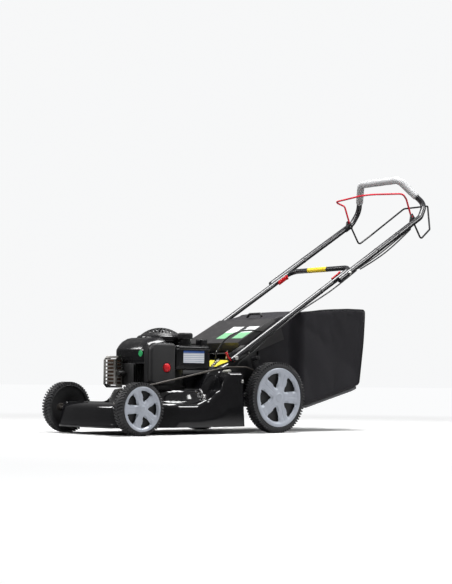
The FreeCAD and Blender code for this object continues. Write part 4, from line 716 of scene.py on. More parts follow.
tyre_rubber = finish("tyre_rubber", (0.028, 0.028, 0.03), 0.55, grain=600, depth=0.25, spread=0.08,
                     dust=0.35, tint=0.2)
rim_plastic = finish("rim_plastic", (0.02, 0.02, 0.021), 0.5, grain=500, depth=0.1, dust=0.2)
cap_silver = finish("hubcap_silver", (0.43, 0.46, 0.52), 0.32, metallic=0.15, grain=1200, depth=0.05,
                    spread=0.05,
                    dust=0.06, tint=0.05, specular=0.4)
TREAD = 5.0
lugs = lug_tree()
for end, lug_count, twist in (("front", 52, 0.0), ("rear", 72, math.pi / 5)):
    for side, sign in (("left", 1), ("right", -1)):
        body = "%s_wheel_%s" % (end, side)
        tyre_low, tyre_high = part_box("%s_tyre_%s" % (end, side))
        centre = Vector((0, (tyre_low[1] + tyre_high[1]) / 2, (tyre_low[2] + tyre_high[2]) / 2))
        radius = (tyre_high[2] - tyre_low[2]) / 2
        seat = (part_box("%s_rim_%s" % (end, side))[1][2] - centre.z)
        inner_x, outer_x = sorted((abs(tyre_low[0]), abs(tyre_high[0])))
        middle_x = (inner_x + outer_x) / 2
        half = (outer_x - inner_x) / 2
        root = radius - TREAD * 0.84 * MM
        profile = []
        for step in range(25):
            t = -1 + 2 * step / 24
            reach = root - 0.0042 * abs(t) ** 5
            if abs(t) == 1:
                reach = root - 0.009
            profile.append((sign * (middle_x + t * half * 0.97), reach))
        wall = [(1.0, 0.75), (1.0, 0.6), (0.965, 0.55), (0.965, 0.35), (1.0, 0.28), (0.985, 0.1), (0.95, 0.0)]
        for across, up in wall:
            profile.append((sign * (middle_x + half * across), seat + (root - 0.012 - seat) * up))
        for across, up in reversed(wall):
            profile.append((sign * (middle_x - half * across), seat + (root - 0.012 - seat) * up))
        carcass = turned("carcass", profile, 150, centre)
        blocks = grown("lugs", lugs, {
            "Lug Count": lug_count, "Tread Radius": radius - 0.0051, "Lug Width": half * 1.02,
            "Lug Length": radius * 2 * math.pi / lug_count * 0.5, "Lug Height": 0.0098,
            "Row Offset": half * 0.5, "Lug Slant": 0.3, "Rubber": tyre_rubber})
        blocks.transform(Matrix.Translation(centre + Vector((sign * middle_x, 0, 0))))
        tyre = placed("%s_tyre_%s_moulded" % (end, side), joined("tyre", [carcass, blocks]), tyre_rubber,
                      body,
                      smooth=32)
        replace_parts(tyre, "%s_tyre_%s" % (end, side))
        kept("%s_rim_%s" % (end, side), rim_plastic)
        if end == "front":
            side_x = sign * (middle_x - half * 0.9)
            dish = [(side_x + sign * 0.012, 0.016), (side_x + sign * 0.004, 0.5 * seat),
                    (side_x + sign * 0.001, 0.8 * seat),
                    (side_x, seat + 0.002), (side_x + sign * 0.003, seat + 0.002),
                    (side_x + sign * 0.004, 0.8 * seat),
                    (side_x + sign * 0.007, 0.5 * seat), (side_x + sign * 0.015, 0.016)]
            placed("%s_inner_disc_%s" % (end, side), turned("inner_disc", dish, 96, centre), rim_plastic,
                   body)
        cap_low, cap_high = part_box("%s_cap_%s" % (end, side))
        cap_face = max(abs(cap_low[0]), abs(cap_high[0])) - 0.001
        cap = placed("%s_hubcap_%s" % (end, side), hubcap_mesh(
            "hubcap", centre, sign, (cap_high[2] - cap_low[2]) / 2, cap_face, twist), cap_silver, body,
            smooth=38)
        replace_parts(cap, "%s_cap_%s" % (end, side))


# ---- Engine: castings, silencer and its guard
# A vertical-shaft engine on the deck's dome. Its crankcase and finned cylinder are cast and
# painted black; the silencer stands at the front in a pressed guard of bright steel.
def rounded_plan(corners, inset=0.0, steps=6):
    """A flat outline of (a, b, radius) corners, drawn inwards by inset, each corner rounded."""
    count = len(corners)
    flat = [Vector(c[:2]) for c in corners]
    area = sum(flat[i - 1].x * flat[i].y - flat[i].x * flat[i - 1].y for i in range(count))
    turn = 1 if area > 0 else -1
    places = []
    for i in range(count):
        ahead = (flat[(i + 1) % count] - flat[i]).normalized()
        behind = (flat[i] - flat[i - 1]).normalized()
        normal_a = Vector((-ahead.y, ahead.x)) * turn
        normal_b = Vector((-behind.y, behind.x)) * turn
        bisector = (normal_a + normal_b).normalized()
        here = flat[i] + bisector * (inset / max(0.35, bisector.dot(normal_a)))
        radius = max(0.6, corners[i][2] - inset)
        run = radius * math.tan(ahead.angle(behind) / 2)
        for step in range(steps + 1):
            t = step / steps
            start, end = here - behind * run, here + ahead * run
            places.append(start.lerp(here, t).lerp(here.lerp(end, t), t))
    return places


def moulding(name, corners, low, high, shoulder=6.0, crown=0.0, axis="z", foot=1.0, lower=None):
    """A moulded or cast form: a rounded plan drawn up along one axis, its shoulder and foot eased."""
    layers = []
    for step in range(4):
        angle = step / 3 * math.pi / 2
        layers.append((foot * (1 - math.sin(angle)), low + foot * (1 - math.cos(angle)), 1.0))
    for step in range(1, 6):
        layers.append((0, low + foot + (high - shoulder - low - foot) * step / 6, 1.0))
    for step in range(8):
        angle = step / 7 * math.pi / 2
        layers.append((shoulder * (1 - math.cos(angle)), high - shoulder + shoulder * math.sin(angle), 1.0))
    for step in range(1, 9):
        layers.append((shoulder, high + crown * (1 - (1 - step / 8) ** 2), 1 - step / 8))
    plan = rounded_plan(corners)
    middle = sum(plan, Vector((0, 0))) / len(plan)
    rows = [[(middle.x, middle.y, low)] * len(plan)]
    for inset, height, shrink in layers:
        rows.append([(middle.x + (p.x - middle.x) * shrink, middle.y + (p.y - middle.y) * shrink, height)
                     for p in rounded_plan(corners, inset)])
    placed_rows = []
    for row in rows:
        line = []
        for a, b, c in row:
            x, y, z = (a, b, c) if axis == "z" else (c, a, b)
            line.append(spot(x, y, z - lower(x, y, z)) if lower else spot(x, y, z))
        placed_rows.append(line)
    return welded(from_grid(name, placed_rows, close_across=True), 1e-6)


def bored(mesh, tools):
    """Cuts closed tools out of a closed mesh."""
    holder = bpy.data.objects.new("bored_work", mesh)
    scene.collection.objects.link(holder)
    cutter = bpy.data.objects.new("bored_tool", joined("bored_tool", tools))
    scene.collection.objects.link(cutter)
    cut = holder.modifiers.new("bore", "BOOLEAN")
    cut.operation = "DIFFERENCE"
    cut.solver = "EXACT"
    cut.object = cutter
    applied(holder)
    mesh = holder.data
    bpy.data.objects.remove(holder)
    bpy.data.objects.remove(cutter)
    return mesh


def round_bar(name, start, end, radius, taper=1.0, ease=0.0008, sides=32):
    """A turned pin, boss or bolt between two places, its ends eased."""
    way = (end - start).normalized()
    side = way.orthogonal().normalized()
    up = way.cross(side)
    length = (end - start).length
    rings = [(0, 0.0), (0, radius - ease), (ease * 0.3, radius - ease * 0.3), (ease, radius),
             (length - ease, radius * taper), (length - ease * 0.3, radius * taper - ease * 0.3),
             (length, radius * taper - ease), (length, 0.0)]
    rows = []
    for along, reach in rings:
        rows.append([start + way * along + (side * math.cos(2 * math.pi * k / sides)
                                            + up * math.sin(2 * math.pi * k / sides)) * reach
                                            for k in range(sides)])
    return welded(from_grid(name, rows, close_across=True), 1e-6)


painted_casting = finish("black_painted_casting", (0.012, 0.012, 0.012), 0.42, grain=260, depth=0.3,
                         spread=0.12,
                         dust=0.25, wear=0.3, specular=0.3)
fin_grey = finish("dark_cast_fins", (0.03, 0.03, 0.031), 0.5, metallic=0.3, grain=260, depth=0.3, dust=0.25)
heat_steel = finish("heat_browned_steel", (0.16, 0.1, 0.07), 0.45, metallic=0.7, grain=180, depth=0.2,
                    spread=0.15,
                    tint=0.4, dust=0.1)
guard_steel = finish("pressed_guard_steel", (0.62, 0.6, 0.57), 0.3, metallic=1.0, grain=380, depth=0.08,
                     spread=0.14)
softened("crankcase", painted_casting, "root", 0.0018, smooth=40)
softened("cylinder", fin_grey, "root", 0.0005)
kept("muffler", heat_steel)
kept("muffler_guard", guard_steel)
plug_white = finish("plug_boot_rubber", (0.015, 0.015, 0.015), 0.55, grain=500, depth=0.1)
softened("spark_plug", plug_white, "root", 0.0012)
kept("crankshaft", bare_steel)
kept("flywheel", cast_alloy)
softened("blade_adapter", cast_alloy, "crank", 0.0015)
softened("blade", powder_black, "crank", 0.0006)
softened("blade_bolt", zinc, "crank", 0.0008)


# ---- Blower housing, starter cover and pull handle
# Gloss black mouldings over the engine. The housing has a rounded shoulder and a falling
# front; the starter cover is a dome of slanting ribs with the recoil reel beneath it.
gloss_plastic = finish("gloss_black_moulding", (0.008, 0.008, 0.009), 0.16, grain=500, depth=0.03,
                       spread=0.05,
                       dust=0.1, wear=0.1, specular=0.45)
satin_plastic = finish("satin_black_moulding", (0.014, 0.014, 0.015), 0.38, grain=800, depth=0.12,
                       spread=0.06, dust=0.15)
matte_plastic = finish("matte_grey_moulding", (0.022, 0.022, 0.023), 0.5, grain=900, depth=0.2, spread=0.05,
                       dust=0.12)
FRONT_FACE, REAR_FACE = 122.0, 395.0
HOUSING_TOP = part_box("blower_housing")[1][2] / MM


def housing_fall(x, y, z):
    """How far the housing's top falls away towards the front and at its outer sides."""
    lift = smooth_step(300, HOUSING_TOP - 6, z)
    front = 34 * (1 - smooth_step(FRONT_FACE - 4, FRONT_FACE + 62, y)) ** 1.3
    side = 9 * smooth_step(64, 108, abs(x - 6)) + 4 * smooth_step(300, 395, y)
    rib = 2.5 * smooth_step(6, 0, abs(abs(x - 6) - 70 - 0.1 * (y - 122))) * smooth_step(FRONT_FACE + 20,
                                                                                        FRONT_FACE + 50, y)
    return lift * (front + side - rib)


housing = moulding("blower_housing_cover", [
    (-92, FRONT_FACE, 30), (108, FRONT_FACE, 26), (110, 232, 12), (86, 244, 12), (86, REAR_FACE, 42),
    (-92, REAR_FACE, 42)], 272, HOUSING_TOP, shoulder=20, axis="z", foot=1.5, lower=housing_fall)
housing_piece = placed("blower_housing_cover", housing, gloss_plastic, "root", smooth=50)
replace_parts(housing_piece, "blower_housing")
softened("starter_cover", satin_plastic, "root", 0.0009, smooth=45)
kept("starter_pulley", satin_plastic)
softened("starter_grip", satin_plastic, "starter_grip", 0.0015)
pull_way = Vector((-0.1, 0.88, 0.46)).normalized()
eyelet = spot(-60, 397, 356)
rope_line = [eyelet + pull_way * 0.001 * step for step in range(-8, 14)]
rope_rows = []
rope_side = pull_way.orthogonal().normalized()
for here in [rope_line[0]] + rope_line + [rope_line[-1]]:
    wide = 0.0019 if 0 < len(rope_rows) <= len(rope_line) else 0.0
    rope_rows.append([here + (rope_side * math.cos(math.pi * k / 8)
                              + pull_way.cross(rope_side) * math.sin(math.pi * k / 8))
                      * wide for k in range(16)])
rope_black = finish("starter_rope_braid", (0.05, 0.05, 0.05), 0.7, grain=900, depth=0.1, dust=0.05)
rope = placed("starter_rope", welded(from_grid("starter_rope", rope_rows, close_across=True), 1e-6),
              rope_black, None,
              smooth=60)
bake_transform(rope)
collar_rows = [(r, z) for r, z in ((90, 358), (93, 360), (94.5, 366), (94.5, 376), (93, 381), (89, 384),
                                   (86, 383), (85, 376), (85, 358))]
collar_grid = []
for step in range(96):
    angle = 2 * math.pi * step / 96
    collar_grid.append([spot(r * math.cos(angle), SHAFT_BACK + r * math.sin(angle), z) for r,
                        z in collar_rows])
placed("starter_collar", welded(from_grid("starter_collar", collar_grid, close_across=True,
                                          close_along=True)),
       gloss_plastic, "root", smooth=50)
screw_meshes = []
for x, y, z in ((-70, 150, 366), (80, 158, 366), (66, 368, 371), (-72, 368, 371)):
    screw_meshes.append(round_bar("screw", spot(x, y, z - 18), spot(x, y, z - housing_fall(x, y, z) + 4),
                                  0.0055))
placed("housing_screws", joined("housing_screws", screw_meshes), zinc, "root")


# ---- Carburettor, air filter cover and primer
# The filter cover is a matte moulding on the left of the engine, with a sunk well that holds
# the red rubber primer bulb; the carburettor behind it feeds the cylinder.
softened("carburettor", satin_plastic, "root", 0.003)
FILTER_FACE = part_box("filter_cover")[1][0] / MM
primer_low, primer_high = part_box("primer_bulb")
primer_y = ((primer_low[1] + primer_high[1]) / 2 - AXLE_BACK) / MM
primer_z = (primer_low[2] + primer_high[2]) / 2 / MM
cover = moulding("filter_cover_moulded", [
    (107, 198, 20), (227, 198, 8), (227, 351, 10), (124, 351, 24), (107, 330, 24)], 149, FILTER_FACE,
    shoulder=9,
    crown=1.5, axis="x", foot=1)
well = round_bar("well", spot(138, primer_y, primer_z), spot(FILTER_FACE + 12, primer_y, primer_z),
                 0.0200, ease=0.001, sides=48)
cover_piece = placed("filter_cover_moulded", bored(cover, [well]), matte_plastic, "root",
                     smooth=40)
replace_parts(cover_piece, "filter_cover")
well_again = round_bar("well", spot(138, primer_y, primer_z), spot(FILTER_FACE, primer_y, primer_z), 0.0200,
                       ease=0.001,
                       sides=48)
seam = moulding("filter_cover_seam", [
    (105, 196, 21), (228.5, 196, 8), (228.5, 353, 10), (122, 353, 25), (105, 330, 25)], 149, 153,
    shoulder=1.5, axis="x")
placed("filter_cover_seam", bored(seam, [well_again]), satin_plastic, "root", smooth=50)
red_rubber = finish("red_primer_rubber", (0.62, 0.012, 0.02), 0.3, grain=700, depth=0.06, spread=0.06,
                    dust=0.05, tint=0.1)
dome = round_bar("primer_dome", Vector((primer_low[0], *spot(0, primer_y, primer_z)[1:])),
                 Vector((primer_high[0] + 0.001, *spot(0, primer_y, primer_z)[1:])), 0.0172, ease=0.006,
                 sides=48)
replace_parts(placed("primer_dome", dome, red_rubber, "primer_bulb", smooth=60), "primer_bulb")
sticker_green = finish("green_tag", (0.03, 0.36, 0.12), 0.35, grain=300, depth=0.02, tint=0.25)
tag = round_bar("round_tag", spot(84, FRONT_FACE + 1.0, 312), spot(84, FRONT_FACE - 1.2, 312), 0.0125,
                sides=48)
placed("round_tag", tag, sticker_green, "root")


# ---- Fuel tank, neck and cap
# A black blow-moulded tank on the left behind the filter, welded round its waist, with a
# raised filler neck, a ribbed screw cap and a plain rating label on its outer side.
tank_plastic = finish("tank_moulding", (0.01, 0.01, 0.011), 0.25, grain=600, depth=0.06, spread=0.07,
                      dust=0.12)
TANK_FACE = 148.0
tank_parts = [
    moulding("tank_lower", [(93.5, 247, 14), (TANK_FACE, 247, 14), (TANK_FACE, 425, 14), (93.5, 425, 14)],
             250, 331,
             shoulder=3, foot=8),
    moulding("tank_upper", [(95, 249, 16), (TANK_FACE - 1, 249, 16), (TANK_FACE - 1, 424, 16),
                            (95, 424, 16)], 328, 346,
             shoulder=9, crown=2.0),
    moulding("tank_weld", [(92.5, 245, 15), (TANK_FACE + 3, 245, 15), (TANK_FACE + 3, 428, 15),
                           (92.5, 428, 15)],
             326.5, 331.5, shoulder=1.5, foot=1.0),
    moulding("tank_step", [(95, 386, 8), (131, 386, 8), (131, 423, 8), (95, 423, 8)], 340, 374, shoulder=6,
             crown=1.0),
    round_bar("tank_neck", spot(120.75, 314, 338), spot(120.75, 314, 374), 0.0215, sides=48)]
tank_piece = placed("fuel_tank_moulded", joined("fuel_tank_moulded", tank_parts), tank_plastic, "root",
                    smooth=45)
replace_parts(tank_piece, "fuel_tank")
cap_rows = []
for radius, height in ((0, 372), (28.6, 372), (29.6, 373), (30, 376), (30, 388), (29.4, 391), (27.5, 394),
                       (24, 395.6),
                       (12, 396), (0, 396)):
    row = []
    for step in range(192):
        angle = 2 * math.pi * step / 192
        grip = 1.3 * (0.5 + 0.5 * math.cos(32 * angle)) ** 3 * (374 < height < 392)
        row.append(spot(120.75 + (radius - grip) * math.cos(angle), 314 + (radius - grip) * math.sin(angle),
                        height))
    cap_rows.append(row)
fuel_cap = placed("fuel_cap_ribbed", welded(from_grid("fuel_cap_ribbed", cap_rows, close_across=True), 1e-6),
                  satin_plastic, "fuel_cap", smooth=40)
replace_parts(fuel_cap, "fuel_cap")

label_paint = bpy.data.materials.new("rating_label")
label_paint.use_nodes = True
tree = label_paint.node_tree
shader = tree.nodes["Principled BSDF"]
shader.inputs["Roughness"].default_value = 0.35
coords = tree.nodes.new("ShaderNodeTexCoord")
split = tree.nodes.new("ShaderNodeSeparateXYZ")
tree.links.new(coords.outputs["Object"], split.inputs["Vector"])
header = fitted(tree.nodes, "ShaderNodeMath", {1: 0.3165}, operation="GREATER_THAN")
tree.links.new(split.outputs["Z"], header.inputs[0])
lines = fitted(tree.nodes, "ShaderNodeTexWave", {"Scale": 42.0, "Distortion": 0.6}, bands_direction="Z")
tree.links.new(coords.outputs["Object"], lines.inputs["Vector"])
faint = fitted(tree.nodes, "ShaderNodeMix", {"A": (0.42, 0.46, 0.56, 1), "B": (0.82, 0.84, 0.86, 1)},
               data_type="RGBA")
tree.links.new(lines.outputs["Color"], faint.inputs["Factor"])
blue = fitted(tree.nodes, "ShaderNodeMix", {"B": (0.02, 0.09, 0.38, 1)}, data_type="RGBA")
plugged(tree.links, (faint, "Result", blue, "A"), (header, "Value", blue, "Factor"),
        (blue, "Result", shader, "Base Color"))
label = moulding("rating_label", [(284, 277, 3), (390, 277, 3), (390, 325, 3), (284, 325, 3)],
                 TANK_FACE - 0.5,
                 TANK_FACE + 0.4, shoulder=0.3, axis="x", foot=0.2)
placed("rating_label", label, label_paint, "root")


# ---- Handle: folding steel tubes, clamps, bails and the foam grip
# The lower tube is hinged on the side plates and the upper tube on it; two bails of coated
# wire hang on brackets under the grip, which is a sleeve of grey foam over the upper tube.
slope = math.radians(31)
ALONG, RAISED = Vector((0, math.cos(slope), math.sin(slope))), Vector((0, -math.sin(slope), math.cos(slope)))


def on_handle(along, raised=0.0, x=0.0):
    """A place on the straight handle, in metres: distance up its slope, and above its middle line."""
    flat = Vector((x, 512, 300)) + ALONG * along + RAISED * raised
    return spot(*flat)


def through(points, radii, steps=10):
    """A line through places, each corner turned on an arc of its radius in metres."""
    line = [points[0]]
    for before, here, after, radius in zip(points, points[1:], points[2:], radii):
        come, go = (before - here).normalized(), (after - here).normalized()
        half = come.angle(go) / 2
        centre = here + (come + go).normalized() * (radius / math.sin(half))
        start, end = here + come * (radius / math.tan(half)), here + go * (radius / math.tan(half))
        for step in range(steps + 1):
            line.append(centre + (start - centre).slerp(end - centre, step / steps).normalized() * radius)
    return line + [points[-1]]


def divided(line, pitch):
    """The same line with places every pitch."""
    out = [line[0]]
    for a, b in zip(line, line[1:]):
        count = max(1, int((b - a).length / pitch))
        out += [a.lerp(b, (k + 1) / count) for k in range(count)]
    return out


def sleeve(name, line, radius_at, sides=28):
    """A round sleeve along a line; radius_at gives its radius for a share of the length and an angle."""
    rows = []
    side = None
    for i, here in enumerate(line):
        ahead = (line[min(i + 1, len(line) - 1)] - line[max(i - 1, 0)]).normalized()
        side = ahead.orthogonal() if side is None else side - ahead * side.dot(ahead)
        side.normalize()
        up = ahead.cross(side)
        share = i / (len(line) - 1)
        rows.append([here + (side * math.cos(2 * math.pi * k / sides)
                             + up * math.sin(2 * math.pi * k / sides))
                     * radius_at(share, 2 * math.pi * k / sides) for k in range(sides)])
    rows.insert(0, [line[0]] * sides)
    rows.append([line[-1]] * sides)
    return welded(from_grid(name, rows, close_across=True), 1e-6)


tube_black = finish("gloss_black_tube", (0.016, 0.016, 0.018), 0.24, grain=60, depth=0.002, spread=0.04,
                    dust=0.03,
                    specular=0.5)
softened("bail_brackets", satin_plastic, "upper_handle", 0.0006)
softened("handle_bolts", zinc, "lower_handle", 0.0006)
lever_red = finish("red_lever_moulding", (0.55, 0.012, 0.018), 0.32, grain=700, depth=0.06, spread=0.06,
                   dust=0.05)
for side in ("left", "right"):
    softened("clamp_lever_" + side, lever_red, "clamp_lever_" + side, 0.002)
UPPER_GAUGE = 214.0
bend = Vector((UPPER_GAUGE, 512, 300)) + ALONG * 1262
shoulder = bend + Vector((-8, 38, 60))
corner = Vector((118, shoulder.y - 77, shoulder.z + 114))
grip_start = shoulder.lerp(corner, 0.3)


def mirrored(half):
    """A line's left half with its right half added, the other way round."""
    return half + [Vector((-p.x, p.y, p.z)) for p in reversed(half)]


def wire(name, places, radii, radius, material, body, node):
    """Round tube or wire bent through places, in place of its CAD solid."""
    line = divided(through(places, [r * MM for r in radii], 14), 0.02)
    piece = placed(name, sleeve(name, line, lambda share, angle: radius, 32), material, body, smooth=50)
    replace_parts(piece, node)
    return piece


wire("lower_tube", mirrored([on_handle(-18, 0, 190), on_handle(778, 0, 190)]), [45, 45], 0.011, tube_black,
     "lower_handle", "lower_handle")
wire("upper_tube", mirrored([on_handle(660, 0, UPPER_GAUGE), spot(*bend), spot(*shoulder), spot(*corner)]),
     [60, 45, 40, 40, 45, 60], 0.0125, tube_black, "upper_handle", "upper_handle")
red_wire = finish("red_coated_wire", (0.5, 0.012, 0.03), 0.3, grain=60, depth=0.002, spread=0.05)
black_wire = finish("black_coated_wire", (0.012, 0.012, 0.013), 0.3, grain=60, depth=0.002, spread=0.05)
HOOK, PLATE = 193.2, 201.2
pin = (on_handle(1230, 21) / MM) - Vector((0, AXLE_BACK / MM, 0))
brake_half = [(PLATE, 0, 0), (HOOK, 0, 0), (HOOK, -32, 75), (212, -76, 94)]
brake_half = [spot(x, pin.y + y, pin.z + z) for x, y, z in brake_half]
brake_line = brake_half + [spot(0, pin.y - 91, pin.z + 108)] + [Vector((-p.x, p.y, p.z))
                                                                for p in reversed(brake_half)]
wire("brake_bail_wire", brake_line, [5, 18, 14, 700, 14, 18, 5], 0.004, red_wire, "brake_bail",
     "brake_bail")
pin = (on_handle(1230, 0) / MM) - Vector((0, AXLE_BACK / MM, 0))
drive_half = [(PLATE, 0, 0), (HOOK, 0, 0), (HOOK, 54, -79), (182, 127, -29), (74, 236, 96)]
wire("drive_bail_wire", mirrored([spot(x, pin.y + y, pin.z + z) for x, y, z in drive_half]),
     [5, 14, 14, 16, 16, 14, 14, 5], 0.004, black_wire, "drive_bail", "drive_bail")
half_path = [spot(*grip_start), spot(*corner)]
grip_line = divided(through(mirrored(half_path), [0.04, 0.04], 16), 0.004)


def foam_radius(share, angle):
    """The foam swells a little between the grip's ends, which are rolled in."""
    end = min(share, 1 - share)
    return 0.0130 + 0.0036 * smooth_step(0, 0.012, end) + 0.0003 * math.sin(46 * share) * math.cos(angle)


foam_grey = finish("grey_foam", (0.36, 0.365, 0.37), 0.8, grain=300, depth=0.03, spread=0.05, dust=0.02,
                   tint=0.05,
                   specular=0.15)
grip = placed("grip_foam_sleeve", sleeve("grip_foam_sleeve", grip_line, foam_radius, 32), foam_grey,
              "upper_handle",
              smooth=60)
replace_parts(grip, "grip_foam")
tape_yellow = finish("yellow_tape", (0.78, 0.56, 0.02), 0.4, grain=300, depth=0.1, spread=0.08, dust=0.05)
tape_line = divided([on_handle(778, 0, -75), on_handle(778, 0, 40)], 0.004)
placed("crossbar_tape", sleeve("crossbar_tape", tape_line, lambda share,
                               angle: 0.01135 + 0.00015 * math.sin(60 * share)),
       tape_yellow, "lower_handle", smooth=60)
for name, x, along, raised, body in (("cable_tie_high", UPPER_GAUGE, 1085, 0, "upper_handle"),
                                     ("cable_tie_middle", UPPER_GAUGE, 930, 0, "upper_handle"),
                                     ("cable_tie_far", -UPPER_GAUGE, 895, 0, "upper_handle"),
                                     ("cable_tie_low", 190.0, 560, 0, "lower_handle")):
    reach = 0.0132 if body == "upper_handle" else 0.0117
    band = divided([on_handle(along - 3, raised, x), on_handle(along + 3, raised, x)], 0.002)
    placed(name, sleeve(name, band, lambda share, angle,
                        reach=reach: reach + 0.004 * max(0, math.cos(angle - 1)) ** 24),
           satin_plastic, body)


# ---- Control cables
# Two sheathed cables run down the left leg from the bails' brackets. One goes over to the
# engine's brake in a high arc and one goes under the leg to the gearbox.
sheath = finish("cable_sheath", (0.012, 0.012, 0.012), 0.36, grain=500, depth=0.05, spread=0.08, dust=0.05)
CABLE = 0.006


def control_cable(name, places, body, node, ends=None):
    """One length of sheathed cable: a smooth line through the places its clips and bends give it."""
    line = bpy.data.curves.new(name, "CURVE")
    line.dimensions = "3D"
    line.resolution_u = 16
    line.bevel_depth = CABLE / 2
    line.bevel_resolution = 4
    line.use_fill_caps = True
    strand = line.splines.new("NURBS")
    strand.points.add(len(places) - 1)
    for point, place in zip(strand.points, places):
        point.co = (*place, 1)
    strand.order_u = 3
    strand.use_endpoint_u = True
    line.materials.append(sheath)
    piece = bpy.data.objects.new(name, line)
    scene.collection.objects.link(piece)
    bare_line = line.copy()
    bare_line.bevel_depth = 0
    ruler = bpy.data.objects.new("ruler", bare_line)
    scene.collection.objects.link(ruler)
    graph = bpy.context.evaluated_depsgraph_get()
    measured = bpy.data.meshes.new_from_object(ruler.evaluated_get(graph))
    bpy.data.objects.remove(ruler)
    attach(piece, body)
    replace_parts(piece, node)
    return piece


below = -17.0
for index, drop in enumerate((0.0, -8.0)):
    x = UPPER_GAUGE - 8 + 9 * index
    control_cable("upper_cable_%d" % index, [
        on_handle(1188 - 14 * index, below, x), on_handle(1060, below + drop - 4, x),
        on_handle(920, below + drop - 8, x - 2), on_handle(800, below + drop / 2, x - 3)], "upper_handle",
        "upper_cables")
inside_x, outside_x = 174.5, 205.5
control_cable("lower_cable_0", [
    on_handle(790, below + 1, inside_x), on_handle(640, below - 1, inside_x),
    on_handle(480, below + 9, inside_x - 0.5),
    on_handle(350, below + 15, inside_x), on_handle(222, 0, inside_x)], "lower_handle", "lower_cables")
control_cable("lower_cable_1", [
    on_handle(790, below - 4, outside_x - 8), on_handle(640, below - 9, outside_x - 8.5),
    on_handle(500, below + 3, outside_x), on_handle(390, below + 12, outside_x + 0.5),
    on_handle(310, below + 6, outside_x - 2), on_handle(222, below, 194)], "lower_handle", "lower_cables")
control_cable("engine_cable_0", [
    on_handle(214, 0, inside_x), on_handle(214, 0, inside_x) + Vector((0, -0.044, 0.004)),
    spot(inside_x, 600, 414),
    spot(inside_x + 0.5, 548, 407), spot(inside_x - 1, 505, 392), spot(166, 472, 364), spot(156, 452, 330),
    spot(150, 447, 298), spot(149, 446, 270)], "root", "engine_cables")
control_cable("engine_cable_1", [
    on_handle(214, below, 194), on_handle(150, below - 8, 194), on_handle(70, below - 14, 192),
    spot(190, 542, 288), spot(190, 520, 262)], "root", "engine_cables")


# ---- Rear flap: black moulding over the bag's mouth
# A ribbed plastic flap on a rod, sprung shut on the bag's ring, with two plain paper
# stickers on its slope.
flap_plastic = finish("flap_moulding", (0.03, 0.029, 0.03), 0.38, grain=600, depth=0.05, spread=0.08,
                      dust=0.12)
softened("rear_flap", flap_plastic, "rear_flap", 0.0016, segments=3)
kept("flap_rod", zinc)
paper = bpy.data.materials.new("white_green_sticker")
paper.use_nodes = True
tree = paper.node_tree
shader = tree.nodes["Principled BSDF"]
shader.inputs["Roughness"].default_value = 0.3
coords = tree.nodes.new("ShaderNodeTexCoord")
split = tree.nodes.new("ShaderNodeSeparateXYZ")
tree.links.new(coords.outputs["Object"], split.inputs["Vector"])
half = fitted(tree.nodes, "ShaderNodeMath", {1: (AXLE_BACK + 0.628)}, operation="LESS_THAN")
tree.links.new(split.outputs["Y"], half.inputs[0])
speckle = fitted(tree.nodes, "ShaderNodeTexNoise", {"Scale": 400})
tree.links.new(coords.outputs["Object"], speckle.inputs["Vector"])
tint = fitted(tree.nodes, "ShaderNodeMix", {"A": (0.58, 0.60, 0.60, 1), "B": (0.70, 0.71, 0.71, 1)},
              data_type="RGBA")
tree.links.new(speckle.outputs["Fac"], tint.inputs["Factor"])
green = fitted(tree.nodes, "ShaderNodeMix", {"B": (0.20, 0.46, 0.25, 1)}, data_type="RGBA")
plugged(tree.links, (tint, "Result", green, "A"), (half, "Value", green, "Factor"),
        (green, "Result", shader, "Base Color"))
FLAP_LOW, FLAP_RISE = Vector((0, 545, 362)), Vector((0, 195, 104)).normalized()
flap_up = Vector((0, -FLAP_RISE.z, FLAP_RISE.y))
for name, x_low, x_high in (("flap_sticker_left", 92, 158), ("flap_sticker_right", -4, 64)):
    rows = []
    for height in (-0.2, 0.5):
        edge = []
        for along, x in ((40, x_low), (40, x_high), (150, x_high), (150, x_low)):
            edge.append(spot(*(FLAP_LOW + FLAP_RISE * along + flap_up * height + Vector((x, 0, 0)))))
        rows.append(edge)
    middle_low = sum(rows[0], Vector()) / 4
    middle_high = sum(rows[1], Vector()) / 4
    rows = [[middle_low] * 4] + rows + [[middle_high] * 4]
    placed(name, welded(from_grid(name, rows, close_across=True), 1e-6), paper, "rear_flap",
           smooth=0)


# ---- Grass bag: sewn black polyester on a wire ring, over a grey tray
# Heavy woven cloth, narrow at its mouth and full width behind the wheels. It hangs from the
# ring and the carrying handle, so its sides sink a little and fold softly near the seams.
BAG_TOP = [(668, 402), (706, 425), (742, 448), (764, 470), (812, 482), (860, 494), (930, 504), (998, 512),
           (1080, 518),
           (1168, 523), (1230, 524), (1266, 521)]
BAG_LOW = [(668, 212), (700, 209), (734, 206), (753, 134), (775, 114), (800, 110), (850, 110), (908, 110),
           (1000, 134), (1100, 160), (1176, 180), (1218, 196)]


def on_line(line, share):
    """A place along a line of (y, z) pairs, for a share of its length."""
    runs = [math.hypot(b[0] - a[0], b[1] - a[1]) for a, b in zip(line, line[1:])]
    goal = share * sum(runs)
    for (a, b), run in zip(zip(line, line[1:]), runs):
        if goal <= run or (a, b) == (line[-2], line[-1]):
            t = min(1.0, goal / run)
            return a[0] + (b[0] - a[0]) * t, a[1] + (b[1] - a[1]) * t
        goal -= run


def bag_half_width(y):
    full = 160 + 40 * smooth_step(838, 894, y)
    return full - 24 * smooth_step(1236, 1282, y) ** 1.5


